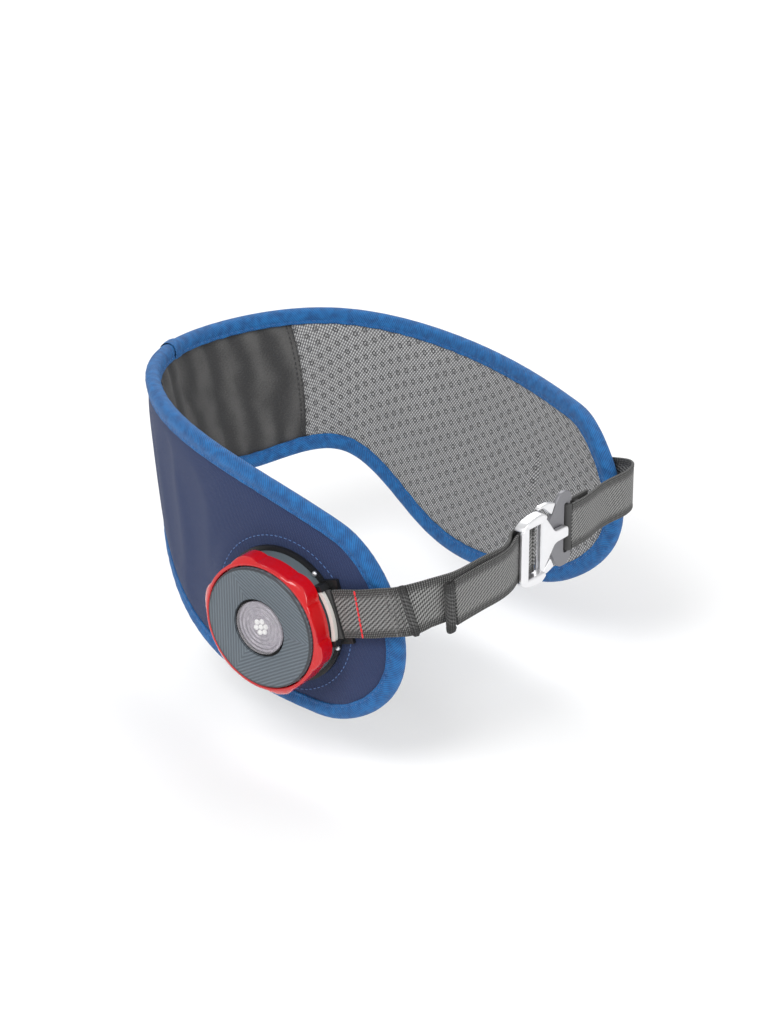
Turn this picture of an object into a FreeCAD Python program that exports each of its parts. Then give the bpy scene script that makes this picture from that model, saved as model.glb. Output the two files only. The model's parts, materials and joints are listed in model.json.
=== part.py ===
import FreeCAD, Part
import math
import os

# Padded waist belt with a rotary strap dial. Millimetres, +Z up, the wearer faces -Y and
# the wearer's right hand is at -X. The origin is on the waist axis, level with the lowest edge.

Vec = FreeCAD.Vector
UP = Vec(0, 0, 1)

# ---------------------------------------------------------------- driving dimensions
# Band: matching points of its top and bottom edges, from the right wing's tip, round the back,
# to the left wing's tip.
TOP_EDGE = [(-87, -122, 85), (-99, -52, 111), (-94, 26, 121), (-50, 97, 118), (17, 123, 112),
            (78, 93, 112), (103, 26, 108), (93, -47, 107), (68, -120, 107)]
BOTTOM_EDGE = [(-91, -120, 1), (-101, -43, 4), (-91, 28, 22), (-44, 90, 50), (18, 105, 37),
               (66, 76, 43), (73, 22, 14), (70, -38, 7), (71, -119, 24)]
LAST = len(TOP_EDGE) - 1
TIP_LENGTH = 0.56           # rounded end of a wing, in stations
BACK_SEAMS = (2.95, 4.62)   # stations where the stretch panel meets the linings

EDGE_HALF = 2.45            # half the sandwich's thickness where the binding holds it
FACE_SPLIT = 1.0            # depth of the outer panel's back
LAYER_GAP = 0.2
TAPE = 1.1                  # binding tape
BINDING_OUT = 3.4           # binding beyond the outline
BINDING_IN = 5.0            # binding inside the outline
PANEL_INSET = 1.6           # edge of every layer inside the outline

# Dial
DIAL_STATION = 0.878
DIAL_LEVEL = -0.12          # -1 bottom edge, +1 top edge
DIAL_FACING = 189.0         # compass turn of the dial's axis from +X
DIAL_STANDOFF = 1.4
STRAP_RISE = 18.5           # degrees that the strap climbs where it leaves the dial
BASE_R = 35.6
BASE_T = 2.0
HOUSING_R = 33.2
HOUSING_WALL = 1.6
HOUSING_TOP = 9.2
RING_BACK = 8.6
RING_FRONT = 19.4
RING_R = 33.9
RING_BORE = 31.9
LOBE_R = 36.2
LOBES = 6
FACE_R = 31.3
FACE_BACK = 16.6
FACE_FRONT = 20.6
LENS_HOLE_R = 15.0
LENS_R = 14.2
LENS_BACK = 19.3
LENS_RIM = 20.7
LENS_CROWN = 21.4

# Winding gear
AXIS_Z = 8.6                # height of the spool's axis above the base
GEAR_MODULE = 0.9
CROWN_TEETH = 40
PINION_TEETH = 10
CROWN_R = CROWN_TEETH * GEAR_MODULE / 2
PINION_R = PINION_TEETH * GEAR_MODULE / 2
GEAR_WIDTH = 2.6
COIL_R = 5.0
HUB_R = 2.4
AXLE_R = 1.5

# Webbing
WEB_W = 25.0
WEB_T = 1.3
WEB_Z = 4.4                 # middle of the webbing in the exit slot
HINGE_X = 38.0              # where the strap starts to bend outward

# Buckle: the middle of the hook's window, and the bar of the catch plate
HOOK_CENTRE = Vec(-14.5, -135.5, 81.2)
BUCKLE_HEADING = 4.0        # degrees of the strap's run at the buckle
PLATE_T = 2.2
HOOK_BACK = 0.1             # hook plate's back face; the catch plate lies behind it
CATCH_FRONT = -0.1
SLIDER_Z = 0.2              # bar inside the hook's window that the webbing turns round
SLIDER_R = 1.5
CATCH_BAR_X = 32.2          # catch plate's webbing bar, from the hook's window
CATCH_BAR_R = 1.25


# ---------------------------------------------------------------- small helpers
def spline(points, closed=False, params=None):
    curve = Part.BSplineCurve()
    options = {"Points": [Vec(p) for p in points], "PeriodicFlag": closed}
    if params:
        options["Parameters"] = params
    curve.interpolate(**options)
    return curve


def closed_solid(faces):
    """Sew faces that share their edges into one solid with a positive volume."""
    shell = Part.Shell(faces)
    shell.sewShape()
    solid = Part.Solid(shell)
    if solid.Volume < 0:
        solid.reverse()
    return solid


def ruled_solid(rails, closed):
    """A solid between rails, which are the corners of its section all along it."""
    params = [float(i) for i in range(len(rails[0]) + (1 if closed else 0))]
    edges = [spline(r, closed, params).toShape() for r in rails]
    count = len(edges)
    faces = [Part.makeRuledSurface(edges[i], edges[(i + 1) % count], 1) for i in range(count)]
    if not closed:
        for end in (0, -1):
            a, b, c, d = (Vec(r[end]) for r in rails)
            first, second = Part.LineSegment(a, b).toShape(), Part.LineSegment(d, c).toShape()
            faces.append(Part.makeRuledSurface(first, second, 1))
    return closed_solid(faces)


def steps(low, high, count):
    return [low + (high - low) * i / (count - 1) for i in range(count)]


def box(x0, x1, y0, y1, z0, z1):
    return Part.makeBox(x1 - x0, y1 - y0, z1 - z0, Vec(x0, y0, z0))


def disc(radius, z0, z1, x=0.0, y=0.0):
    return Part.makeCylinder(radius, z1 - z0, Vec(x, y, z0))


def ring(outer, inner, z0, z1):
    return disc(outer, z0, z1).cut(disc(inner, z0 - 1, z1 + 1))


def rod_y(radius, y0, y1, x=0.0, z=AXIS_Z):
    return Part.makeCylinder(radius, y1 - y0, Vec(x, y0, z), Vec(0, 1, 0))


def prism(points, z0, z1):
    wire = Part.makePolygon([Vec(x, y, z0) for x, y in points] + [Vec(points[0][0], points[0][1], z0)])
    return Part.Face(wire).extrude(Vec(0, 0, z1 - z0))


def placement(origin, ex, ey, ez):
    m = FreeCAD.Matrix(ex.x, ey.x, ez.x, origin.x, ex.y, ey.y, ez.y, origin.y,
                       ex.z, ey.z, ez.z, origin.z, 0, 0, 0, 1)
    return FreeCAD.Placement(m)


def placed(shape, where):
    moved = shape.copy()
    moved.Placement = where.multiply(moved.Placement)
    return moved


# ---------------------------------------------------------------- the band's middle surface
STATIONS = [float(i) for i in range(LAST + 1)]
TOP_CURVE = spline(TOP_EDGE, params=STATIONS)
BOTTOM_CURVE = spline(BOTTOM_EDGE, params=STATIONS)


def band(station, level):
    """A point of the middle surface: level -1 is the bottom edge, +1 the top edge."""
    top, bottom = TOP_CURVE.value(station), BOTTOM_CURVE.value(station)
    return bottom + (top - bottom) * ((level + 1) / 2)


def band_normal(station, level):
    """Unit normal of the middle surface, away from the wearer."""
    e = 0.01
    along = band(station + e, level) - band(station - e, level)
    normal = (TOP_CURVE.value(station) - BOTTOM_CURVE.value(station)).cross(along)
    return normal.normalize()


def outline(count_side, count_tip):
    """Closed outline as (station, level): along the top, round the left tip, back, round the right tip."""
    top = [(s, 1.0) for s in steps(TIP_LENGTH, LAST - TIP_LENGTH, count_side)]
    turns = [math.pi * i / count_tip for i in range(1, count_tip)]
    left = [(LAST - TIP_LENGTH * (1 - math.sin(a)), math.cos(a)) for a in turns]
    right = [(TIP_LENGTH * (1 - math.sin(a)), -math.cos(a)) for a in turns]
    return top + left + [(s, -1.0) for s, _ in reversed(top)] + right


def edge_frames(points):
    """For each outline point: its place, the direction out of the band's edge, the band's normal."""
    places = [band(s, v) for s, v in points]
    frames = []
    for i, (s, v) in enumerate(points):
        along = places[(i + 1) % len(points)] - places[i - 1]
        normal = band_normal(s, v)
        out = along.cross(normal).normalize()
        frames.append((places[i], out, normal))
    return frames


def make_binding():
    """Tape folded over the edge: a C section swept round the whole outline."""
    out, slot, back = BINDING_OUT, BINDING_OUT - TAPE, -BINDING_IN
    full, inner = EDGE_HALF + LAYER_GAP + TAPE, EDGE_HALF + LAYER_GAP
    section = [(out - 1.2, full), (out, full - 1.6), (out, -full + 1.6), (out - 1.2, -full), (back, -full),
               (back, -inner), (slot, -inner), (slot, inner), (back, inner), (back, full)]
    frames = edge_frames(outline(30, 9))
    rails = [[place + away * m + normal * n for place, away, normal in frames] for m, n in section]
    return ruled_solid(rails, True)


def make_layer(low, high, first, last, count=27):
    """One cloth or foam layer between two depths, from one station to another."""
    tops, bottoms = [], []
    tip_angle = math.radians(72)
    ends = [TIP_LENGTH * (1 - math.sin(tip_angle * i / 6)) for i in range(6, 0, -1)]
    middle = steps(TIP_LENGTH, LAST - TIP_LENGTH, count)
    stations = ends + middle + [LAST - e for e in reversed(ends)]
    stations = [s for s in stations if first + 0.03 < s < last - 0.03]
    if first > 0:
        stations = [first] + stations
    if last < LAST:
        stations = stations + [last]
    for s in stations:
        reach = min(s, LAST - s)
        short = max(0.0, 1 - reach / TIP_LENGTH)
        rise = math.sqrt(max(0.0, 1 - short ** 2))
        half = (band(s, 1) - band(s, -1)).Length / 2
        level = rise - PANEL_INSET / half
        tops.append((band(s, level), band_normal(s, level)))
        bottoms.append((band(s, -level), band_normal(s, -level)))
    rails = [[p + n * low for p, n in bottoms], [p + n * high for p, n in bottoms],
             [p + n * high for p, n in tops], [p + n * low for p, n in tops]]
    return ruled_solid(rails, False)


# ---------------------------------------------------------------- local frames
def dial_frame():
    """x along the strap as it leaves, y across the strap, z away from the belt."""
    facing = math.radians(DIAL_FACING)
    normal = Vec(math.cos(facing), math.sin(facing), 0)
    level_run = Vec(-normal.y, normal.x, 0)
    rise = math.radians(STRAP_RISE)
    ex = level_run * math.cos(rise) + UP * math.sin(rise)
    ey = UP * math.cos(rise) - level_run * math.sin(rise)
    origin = band(DIAL_STATION, DIAL_LEVEL) + normal * (EDGE_HALF + DIAL_STANDOFF)
    return origin, ex, ey, normal


DIAL_O, DIAL_X, DIAL_Y, DIAL_Z = dial_frame()
DIAL = placement(DIAL_O, DIAL_X, DIAL_Y, DIAL_Z)


def dial_point(x, y, z):
    return DIAL_O + DIAL_X * x + DIAL_Y * y + DIAL_Z * z


HEADING = math.radians(BUCKLE_HEADING)
BUCKLE_X = Vec(math.cos(HEADING), math.sin(HEADING), 0)
BUCKLE_Z = Vec(math.sin(HEADING), -math.cos(HEADING), 0)
BUCKLE = placement(HOOK_CENTRE, BUCKLE_X, UP, BUCKLE_Z)


def buckle_point(x, y, z):
    return HOOK_CENTRE + BUCKLE_X * x + UP * y + BUCKLE_Z * z


# ---------------------------------------------------------------- webbing
def webbing(centres, across, width=WEB_W, thick=WEB_T, samples=26):
    """A flat strap along centres; across gives the direction of its width at each of them."""
    middle = spline(centres)
    widths = spline([Vec(c) + Vec(a) * 20 for c, a in zip(centres, across)],
                    params=list(middle.getKnots()))
    low, high = middle.FirstParameter, middle.LastParameter
    rails = [[], [], [], []]
    for u in steps(low, high, samples):
        place = middle.value(u)
        run = middle.tangent(u)[0]
        side = widths.value(u) - place
        side = (side - run * side.dot(run)).normalize()
        face = run.cross(side)
        for rail, (w, t) in zip(rails, ((-1, -1), (1, -1), (1, 1), (-1, 1))):
            rail.append(place + side * (w * width / 2) + face * (t * thick / 2))
    return ruled_solid(rails, False)


STRAP_RUN = [dial_point(HINGE_X + 0.5, 0, WEB_Z), dial_point(44, 0, 4.4), dial_point(54, -0.5, 4.2),
             dial_point(67, -0.3, 3.9), dial_point(80, 0.2, 3.2), Vec(-86.5, -137, 77.4),
             Vec(-73.5, -141.2, 78.8), Vec(-52, -141.6, 80.0), Vec(-32, -139, 80.7),
             buckle_point(-10, 0, SLIDER_Z - 2.25),
             buckle_point(-5, 0, SLIDER_Z - 2.25), buckle_point(-0.4, 0, SLIDER_Z - 2.25)]
STRAP_ACROSS = [DIAL_Y] * 5 + [Vec(-0.05, 0.1, 1)] + [UP] * 6
STRAP_CURVE = spline(STRAP_RUN)


def strap_frame(index, lift, slide=0.0):
    """Local frame on the outer strap at one of its points: x along, y across, z outward."""
    u = STRAP_CURVE.getKnots()[index]
    run = STRAP_CURVE.tangent(u)[0]
    across = Vec(STRAP_ACROSS[index])
    across = (across - run * across.dot(run)).normalize()
    face = run.cross(across)
    return placement(STRAP_CURVE.value(u) + face * lift + run * slide, run, across, face)


# ---------------------------------------------------------------- band pieces
def backing_plate():
    plate = disc(30.0, -EDGE_HALF - DIAL_STANDOFF - 0.4, -EDGE_HALF - DIAL_STANDOFF + 0.4)
    return placed(plate, DIAL)


SCREW_RING = 27.5
SCREW_SPOTS = [(SCREW_RING * math.cos(a), SCREW_RING * math.sin(a)) for a in map(math.radians, (45, 135, 225, 315))]


def dial_seat():
    """What the dial's plates and screws take out of the soft layers, which they clamp flat."""
    plate_z = -EDGE_HALF - DIAL_STANDOFF
    screws = [disc(1.7, plate_z - 3.0, 3.0, x, y) for x, y in SCREW_SPOTS]
    pocket = disc(30.3, plate_z - 0.55, plate_z + 0.55)
    return placed(Part.makeCompound(screws + [pocket]), DIAL)


def outer_panel():
    return make_layer(FACE_SPLIT, EDGE_HALF, 0, LAST).cut(dial_seat())


def foam_core():
    return make_layer(-FACE_SPLIT, FACE_SPLIT - LAYER_GAP, 0, LAST).cut(dial_seat())


def lining(first, last):
    return make_layer(-EDGE_HALF, -FACE_SPLIT - LAYER_GAP, first, last).cut(dial_seat())


# ---------------------------------------------------------------- dial: fixed shells
def dial_base():
    flange = disc(BASE_R, 0, BASE_T)
    tongue = box(20, 40.2, -16.5, 16.5, 0, BASE_T)
    holes = [disc(1.55, -1, BASE_T + 1, x, y) for x, y in SCREW_SPOTS]
    return flange.fuse(tongue).cut(Part.makeCompound(holes)).removeSplitter()


def base_screws():
    """Screws from the base into the backing plate, which is tapped."""
    deep = -EDGE_HALF - DIAL_STANDOFF + 0.4
    screws = []
    for x, y in SCREW_SPOTS:
        shank = disc(1.5, deep, BASE_T, x, y)
        head = disc(2.6, BASE_T, BASE_T + 0.9, x, y)
        screws.append(shank.fuse(head).removeSplitter())
    return Part.makeCompound(screws)


def housing():
    wall = ring(HOUSING_R, HOUSING_R - HOUSING_WALL, BASE_T + 0.02, HOUSING_TOP - 0.8)
    slot = box(25, 40, -13.1, 13.1, 3.4, 6.4)
    bay = box(33.2, 40, -16.9, 16.9, 0, HOUSING_TOP)
    return wall.cut(slot).cut(bay.cut(disc(HOUSING_R - 0.8, 0, HOUSING_TOP)))


def chassis():
    """Floor, the bearing cheeks of the spool and the deck that carries the light."""
    floor = disc(24.7, BASE_T + 0.05, 3.2)
    cheeks = [box(-6.4, 6.4, y, y + 1.4, 3.1, 14.0) for y in (13.6, -15.0)]
    outer = box(-5, 5, 20.4, 21.8, 3.1, 11.0)
    post = box(-6.4, 6.4, POST_Y, POST_Y + 1.4, 3.1, 11.0)
    deck = disc(15.4, 13.9, 15.3)
    neck = ring(15.4, 13.4, 15.2, FACE_BACK)
    body = floor.multiFuse(cheeks + [outer, post, deck, neck])
    bores = rod_y(AXLE_R + 0.05, -30, 30)
    pin_seat = rod_y(0.9, POST_Y - 1, POST_Y + 3, PAWL_X, PAWL_Z)
    lug = box(PAWL_X - 4, PAWL_X + 2, POST_Y, POST_Y + 1.4, 3.1, PAWL_Z + 2)
    return body.fuse(lug).cut(bores).cut(pin_seat).removeSplitter()


PAWL_X = 9.6
PAWL_Z = 8.6
RATCHET_Y = (-21.9, -19.6)
POST_Y = -23.8              # outer face of the post that holds the axle beyond the ratchet


def spool():
    axle = rod_y(AXLE_R, POST_Y + 0.2, 21.7)
    hub = rod_y(HUB_R, -13.2, 13.2)
    flanges = [rod_y(COIL_R + 0.2, y, y + 0.5) for y in (-13.35, 12.85)]
    return axle.multiFuse([hub] + flanges).removeSplitter()


def webbing_coil():
    """Turns of webbing on the hub, drawn as one spiral strip's outer shape."""
    return rod_y(COIL_R, -12.7, 12.7).cut(rod_y(HUB_R + 0.02, -13, 13))


def toothed_wheel(teeth, root, tip, half_root, half_tip, y0, y1):
    wheel = rod_y(root, y0, y1)
    blanks = []
    for i in range(teeth):
        points = [(-half_root, root - 0.4), (half_root, root - 0.4), (half_tip, tip), (-half_tip, tip)]
        tooth = prism(points, 0, y1 - y0)
        # Stand the tooth on the wheel: its plane is across the axle.
        tooth.Placement = placement(Vec(0, y0, AXIS_Z), Vec(1, 0, 0), Vec(0, 0, 1), Vec(0, -1, 0))
        tooth.translate(Vec(0, y1 - y0, 0))
        tooth.rotate(Vec(0, 0, AXIS_Z), Vec(0, 1, 0), 360.0 * i / teeth)
        blanks.append(tooth)
    return wheel.multiFuse(blanks).cut(rod_y(AXLE_R + 0.02, y0 - 1, y1 + 1)).removeSplitter()


def pinion():
    y0 = CROWN_R - GEAR_WIDTH / 2
    return toothed_wheel(PINION_TEETH, PINION_R - 1.0, PINION_R + 0.65, 0.62, 0.3, y0, y0 + GEAR_WIDTH)


def ratchet_wheel():
    return toothed_wheel(12, 3.9, 4.9, 0.7, 0.3, *RATCHET_Y)


def crown_gear():
    """Face gear under the grip ring. A gap between two teeth is centred over the pinion."""
    plate_low, plate_high = AXIS_Z + PINION_R + 1.15, 15.6
    plate = ring(RING_BORE - 0.05, 16.0, plate_low, plate_high)
    pitch = 2 * math.pi * CROWN_R / CROWN_TEETH
    teeth = []
    for i in range(CROWN_TEETH):
        root, tip = 0.58, 0.28
        inner, outer = CROWN_R - GEAR_WIDTH / 2, CROWN_R + GEAR_WIDTH / 2
        section = [Vec(-root, inner, plate_low + 0.3), Vec(root, inner, plate_low + 0.3),
                   Vec(tip, inner, plate_low - 1.75), Vec(-tip, inner, plate_low - 1.75)]
        face = Part.Face(Part.makePolygon(section + [section[0]]))
        tooth = face.extrude(Vec(0, outer - inner, 0))
        tooth.translate(Vec(pitch / 2, 0, 0))
        tooth.rotate(Vec(0, 0, 0), UP, 360.0 * i / CROWN_TEETH)
        teeth.append(tooth)
    return plate.multiFuse(teeth).removeSplitter()


def grip_ring():
    """Lobed ring with a bevelled lip; the lobes are low rounded ramps round its rim."""
    body = disc(RING_R, RING_BACK, RING_FRONT)
    lobes = []
    for i in range(LOBES):
        angle = 2 * math.pi * (i + 0.5) / LOBES
        far = LOBE_R - 12.0
        lobes.append(disc(12.0, RING_BACK, RING_FRONT, far * math.cos(angle), far * math.sin(angle)))
    body = body.multiFuse(lobes).removeSplitter()
    bevel = Part.makeCone(LOBE_R + 1.5, RING_R - 2.4, 4.0, Vec(0, 0, RING_FRONT - 3.2))
    skirt = disc(LOBE_R + 2, RING_BACK - 1, RING_FRONT - 3.2)
    body = body.common(bevel.fuse(skirt))
    bore = disc(RING_BORE, RING_BACK - 1, RING_FRONT + 1)
    return body.cut(bore)


# ---------------------------------------------------------------- dial: light
def face_plate():
    plate = ring(FACE_R, LENS_HOLE_R, FACE_BACK + 0.05, FACE_FRONT)
    edge = Part.makeCone(FACE_R, FACE_R - 1.0, 1.0, Vec(0, 0, FACE_FRONT - 1.0))
    keep = disc(FACE_R, FACE_BACK, FACE_FRONT - 1.0).fuse(edge)
    skirt = ring(FACE_R - 0.4, FACE_R - 2.0, 15.9, FACE_BACK + 0.2)
    return plate.common(keep).fuse(skirt).removeSplitter()


def lens():
    body = disc(LENS_R, LENS_BACK, LENS_RIM)
    rise = LENS_CROWN - LENS_RIM
    radius = (LENS_R ** 2 + rise ** 2) / (2 * rise)
    dome = Part.makeSphere(radius, Vec(0, 0, LENS_CROWN - radius))
    cap = dome.common(disc(LENS_R, LENS_RIM - 0.2, LENS_CROWN + 1))
    stem = ring(LENS_R, LENS_R - 1.2, LENS_BACK - 1.0, LENS_BACK + 0.2)
    return body.fuse(cap).fuse(stem).removeSplitter()


def leds():
    spots = [(0, 0)] + [(3.0 * math.cos(math.pi * i / 3), 3.0 * math.sin(math.pi * i / 3)) for i in range(6)]
    return Part.makeCompound([disc(1.1, 17.95, 18.5, x, y) for x, y in spots])


def dome_switch():
    dome = Part.makeSphere(6.0, Vec(9.0, 0, 12.65))
    return dome.common(disc(2.2, 17.95, 18.7, 9.0, 0))


# ---------------------------------------------------------------- dial: exit guide
def guide_bar():
    arc = ring(36.6, 34.5, 5.7, 8.0)
    return arc.common(box(30, 40, -12.6, 12.6, 5, 9))


def guide_lugs():
    lugs = []
    for side in (-1, 1):
        block = ring(37.5, 33.5, BASE_T + 0.02, 8.2)
        y0, y1 = sorted((side * 12.7, side * 15.6))
        lugs.append(block.common(box(28, 42, y0, y1, 0, 9)))
    return Part.makeCompound(lugs)


def guide_rivets():
    spots = [(33.6, -20.6), (31.5, 22.6)]
    rivets = []
    for x, y in spots:
        length = math.hypot(x, y)
        ux, uy = x / length, y / length
        rivets.append(Part.makeSphere(1.4, Vec(ux * 34.8, uy * 34.8, BASE_T + 0.2)).common(
            box(20, 45, -30, 30, BASE_T + 0.02, 6)))
    return Part.makeCompound(rivets)


# ---------------------------------------------------------------- ratchet
def pawl():
    """Finger held just clear of the ratchet's teeth, on its own pin."""
    eye = rod_y(2.0, *RATCHET_Y, PAWL_X, PAWL_Z)
    finger = prism([(PAWL_X - 4.2, 1.4), (PAWL_X - 1.0, -0.8), (PAWL_X, 0.6), (PAWL_X - 1.0, 2.2),
                    (PAWL_X - 3.4, 2.9)], 0, RATCHET_Y[1] - RATCHET_Y[0])
    finger.Placement = placement(Vec(0, RATCHET_Y[1], AXIS_Z), Vec(1, 0, 0), Vec(0, 0, 1), Vec(0, -1, 0))
    return eye.fuse(finger).cut(rod_y(0.95, -30, 0, PAWL_X, PAWL_Z)).removeSplitter()


def pawl_pin():
    return rod_y(0.88, POST_Y, RATCHET_Y[1] + 0.4, PAWL_X, PAWL_Z)


# ---------------------------------------------------------------- strap, hook and catch
def tail_points():
    """The free end lies on the outside of the strap, back from the hook, and droops a little."""
    points = []
    for index, lift, drop in ((6, 2.3, 3.0), (7, 2.0, 2.2), (8, 2.2, 1.0)):
        points.append(strap_frame(index, lift).Base - UP * drop)
    for x in (-10, -5, -0.9):
        points.append(buckle_point(x, 0, SLIDER_Z + 2.25))
    return points


def tail_strap():
    points = tail_points()
    return webbing(points, [UP] * len(points), samples=16)


def tail_hem():
    block = box(-6.2, -1.6, -14.2, 12.8, -1.9, 1.9)
    where = strap_frame(6, 2.8)
    where.Base = where.Base + Vec(0, 0, -3.6)
    return placed(block.makeFillet(0.9, block.Edges), where)


def strap_loop():
    """The webbing's turn round the slider bar."""
    outer = Part.makeCylinder(2.25 + WEB_T / 2, WEB_W, Vec(0, -WEB_W / 2, SLIDER_Z), Vec(0, 1, 0))
    inner = Part.makeCylinder(2.25 - WEB_T / 2, WEB_W + 2, Vec(0, -WEB_W / 2 - 1, SLIDER_Z), Vec(0, 1, 0))
    half = box(0.02, 6, -WEB_W, WEB_W, -6, 6)
    return placed(outer.cut(inner).common(half), BUCKLE)


def stop_fold():
    rib = box(-1.8, 1.8, -12.9, 12.9, WEB_T / 2 + 0.25, WEB_T / 2 + 2.4)
    top_edges = [e for e in rib.Edges if e.Length > 20 and e.CenterOfMass.z > 2]
    return placed(rib.makeFillet(1.2, top_edges), strap_frame(4, 0.0, 1.0))


def marker_stitch():
    line = box(-0.55, 0.55, -12.4, 12.4, WEB_T / 2 + 0.02, WEB_T / 2 + 0.45)
    return placed(line, strap_frame(2, 0.0, -3.0))


def mirrored(points):
    return points + [(x, -y) for x, y in reversed(points)]


def hook_plate():
    z0, z1 = HOOK_BACK, HOOK_BACK + PLATE_T
    shoulder = [(-12.0, 11.5), (-10.8, 14.6), (-8.0, 16.2)]
    blank = prism(mirrored(shoulder + [(-1.0, 18.3), (4.0, 18.3), (7.5, 15.5), (17.0, 3.4), (19.0, 2.5),
                                       (26.6, 2.5), (28.2, 1.2)]), z0, z1)
    window = box(-6.2, 6.0, -13.3, 13.3, -4, 8)
    strap_top = SLIDER_Z + 2.25 + WEB_T / 2
    behind_bar = box(-13, -6, -13.3, 13.3, -4, strap_top + 0.7)
    raised = prism(mirrored(shoulder + [(-5.0, 17.0), (-5.0, 13.0)]), z0, 5.6)
    slider = Part.makeCylinder(SLIDER_R, 27.2, Vec(0, -13.6, SLIDER_Z), Vec(0, 1, 0))
    shape = blank.fuse(raised).cut(window).cut(behind_bar).fuse(slider)
    for side in (1, -1):
        ear = prism([(6.0, side * 17.9), (8.2, side * 19.2), (20.0, side * 17.2), (17.2, side * 11.6),
                     (10.6, side * 17.7)], CATCH_FRONT - PLATE_T + 0.4, z0 + 0.6)
        neck = prism([(2.0, side * 16.5), (2.0, side * 18.2), (8.2, side * 19.2), (9.6, side * 17.6)], z0, z1)
        shape = shape.fuse(ear).fuse(neck)
    return placed(shape.removeSplitter(), BUCKLE)


def catch_plate():
    z1 = CATCH_FRONT
    z0 = z1 - PLATE_T
    middle = (z0 + z1) / 2
    blank = prism(mirrored([(8.0, 11.8), (7.6, 16.2), (9.6, 16.6), (16.9, 7.6), (21.8, 16.4), (25.5, 20.3),
                            (30.5, 20.3), (34.0, 17.5)]), z0, z1)
    inner = prism([(6.0, 13.5), (12.5, 3.0), (12.5, -3.0), (6.0, -13.5)], z0 - 1, z1 + 1)
    slot = box(28.3, 36, -13.4, 13.4, z0 - 1, z1 + 1)
    bar = Part.makeCylinder(CATCH_BAR_R, 27.4, Vec(CATCH_BAR_X, -13.7, middle), Vec(0, 1, 0))
    return placed(blank.cut(inner).cut(slot).fuse(bar).removeSplitter(), BUCKLE)


CATCH_Z = CATCH_FRONT - PLATE_T / 2
TURN_R = CATCH_BAR_R + 0.15 + WEB_T / 2


def wing_outside(station, level):
    """Middle of a strap that lies on the outside of the bound edge."""
    lift = EDGE_HALF + LAYER_GAP + TAPE + 0.4 + WEB_T / 2
    return band(station, level) + band_normal(station, level) * lift


def belt_strap():
    """From the catch plate's bar round the left wing's tip to its outer face, where it is sewn."""
    front = CATCH_Z + TURN_R
    run = [buckle_point(CATCH_BAR_X + x, 0, front) for x in (0.4, 5, 10)]
    run += [Vec(45, -129.4, 81.3), Vec(58, -128.2, 81.2), Vec(68.5, -127.4, 81.2), Vec(76.0, -123.6, 81.2)]
    across = [UP] * len(run)
    for s, level in ((7.78, 0.33), (7.6, 0.345), (7.35, 0.37)):
        run.append(wing_outside(s, level))
        across.append((band(s, 1) - band(s, -1)).normalize())
    return webbing(run, across, samples=34)


def strap_return():
    """The webbing's turn through the catch plate's slot and its sewn-down return."""
    where = Vec(CATCH_BAR_X, -WEB_W / 2, CATCH_Z)
    outer = Part.makeCylinder(TURN_R + WEB_T / 2, WEB_W, where, Vec(0, 1, 0))
    inner = Part.makeCylinder(TURN_R - WEB_T / 2, WEB_W + 2, where - Vec(0, 1, 0), Vec(0, 1, 0))
    turn = outer.cut(inner).common(box(CATCH_BAR_X - 6, CATCH_BAR_X - 0.02, -WEB_W, WEB_W, -8, 8))
    low = CATCH_Z - TURN_R
    flat = box(CATCH_BAR_X - 0.02, CATCH_BAR_X + 18, -WEB_W / 2, WEB_W / 2, low - WEB_T / 2, low + WEB_T / 2)
    return placed(turn.fuse(flat).removeSplitter(), BUCKLE)


def bar_tacks():
    """Stitch blocks: through the return behind the catch plate, and on the left wing."""
    gap_low, gap_high = CATCH_Z - TURN_R + WEB_T / 2, CATCH_Z + TURN_R - WEB_T / 2
    tack = placed(box(CATCH_BAR_X + 6, CATCH_BAR_X + 9, -11, 11, gap_low + 0.02, gap_high - 0.1), BUCKLE)
    blocks = [tack]
    for s in (7.42, 7.5, 7.58):
        level = 0.355
        normal = band_normal(s, level)
        run = (band(s + 0.05, level) - band(s - 0.05, level)).normalize()
        seat = placement(wing_outside(s, level), run, normal.cross(run), normal)
        blocks.append(placed(box(-0.7, 0.7, -11, 11, WEB_T / 2 + 0.4, WEB_T / 2 + 0.9), seat))
    return Part.makeCompound(blocks)


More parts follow.
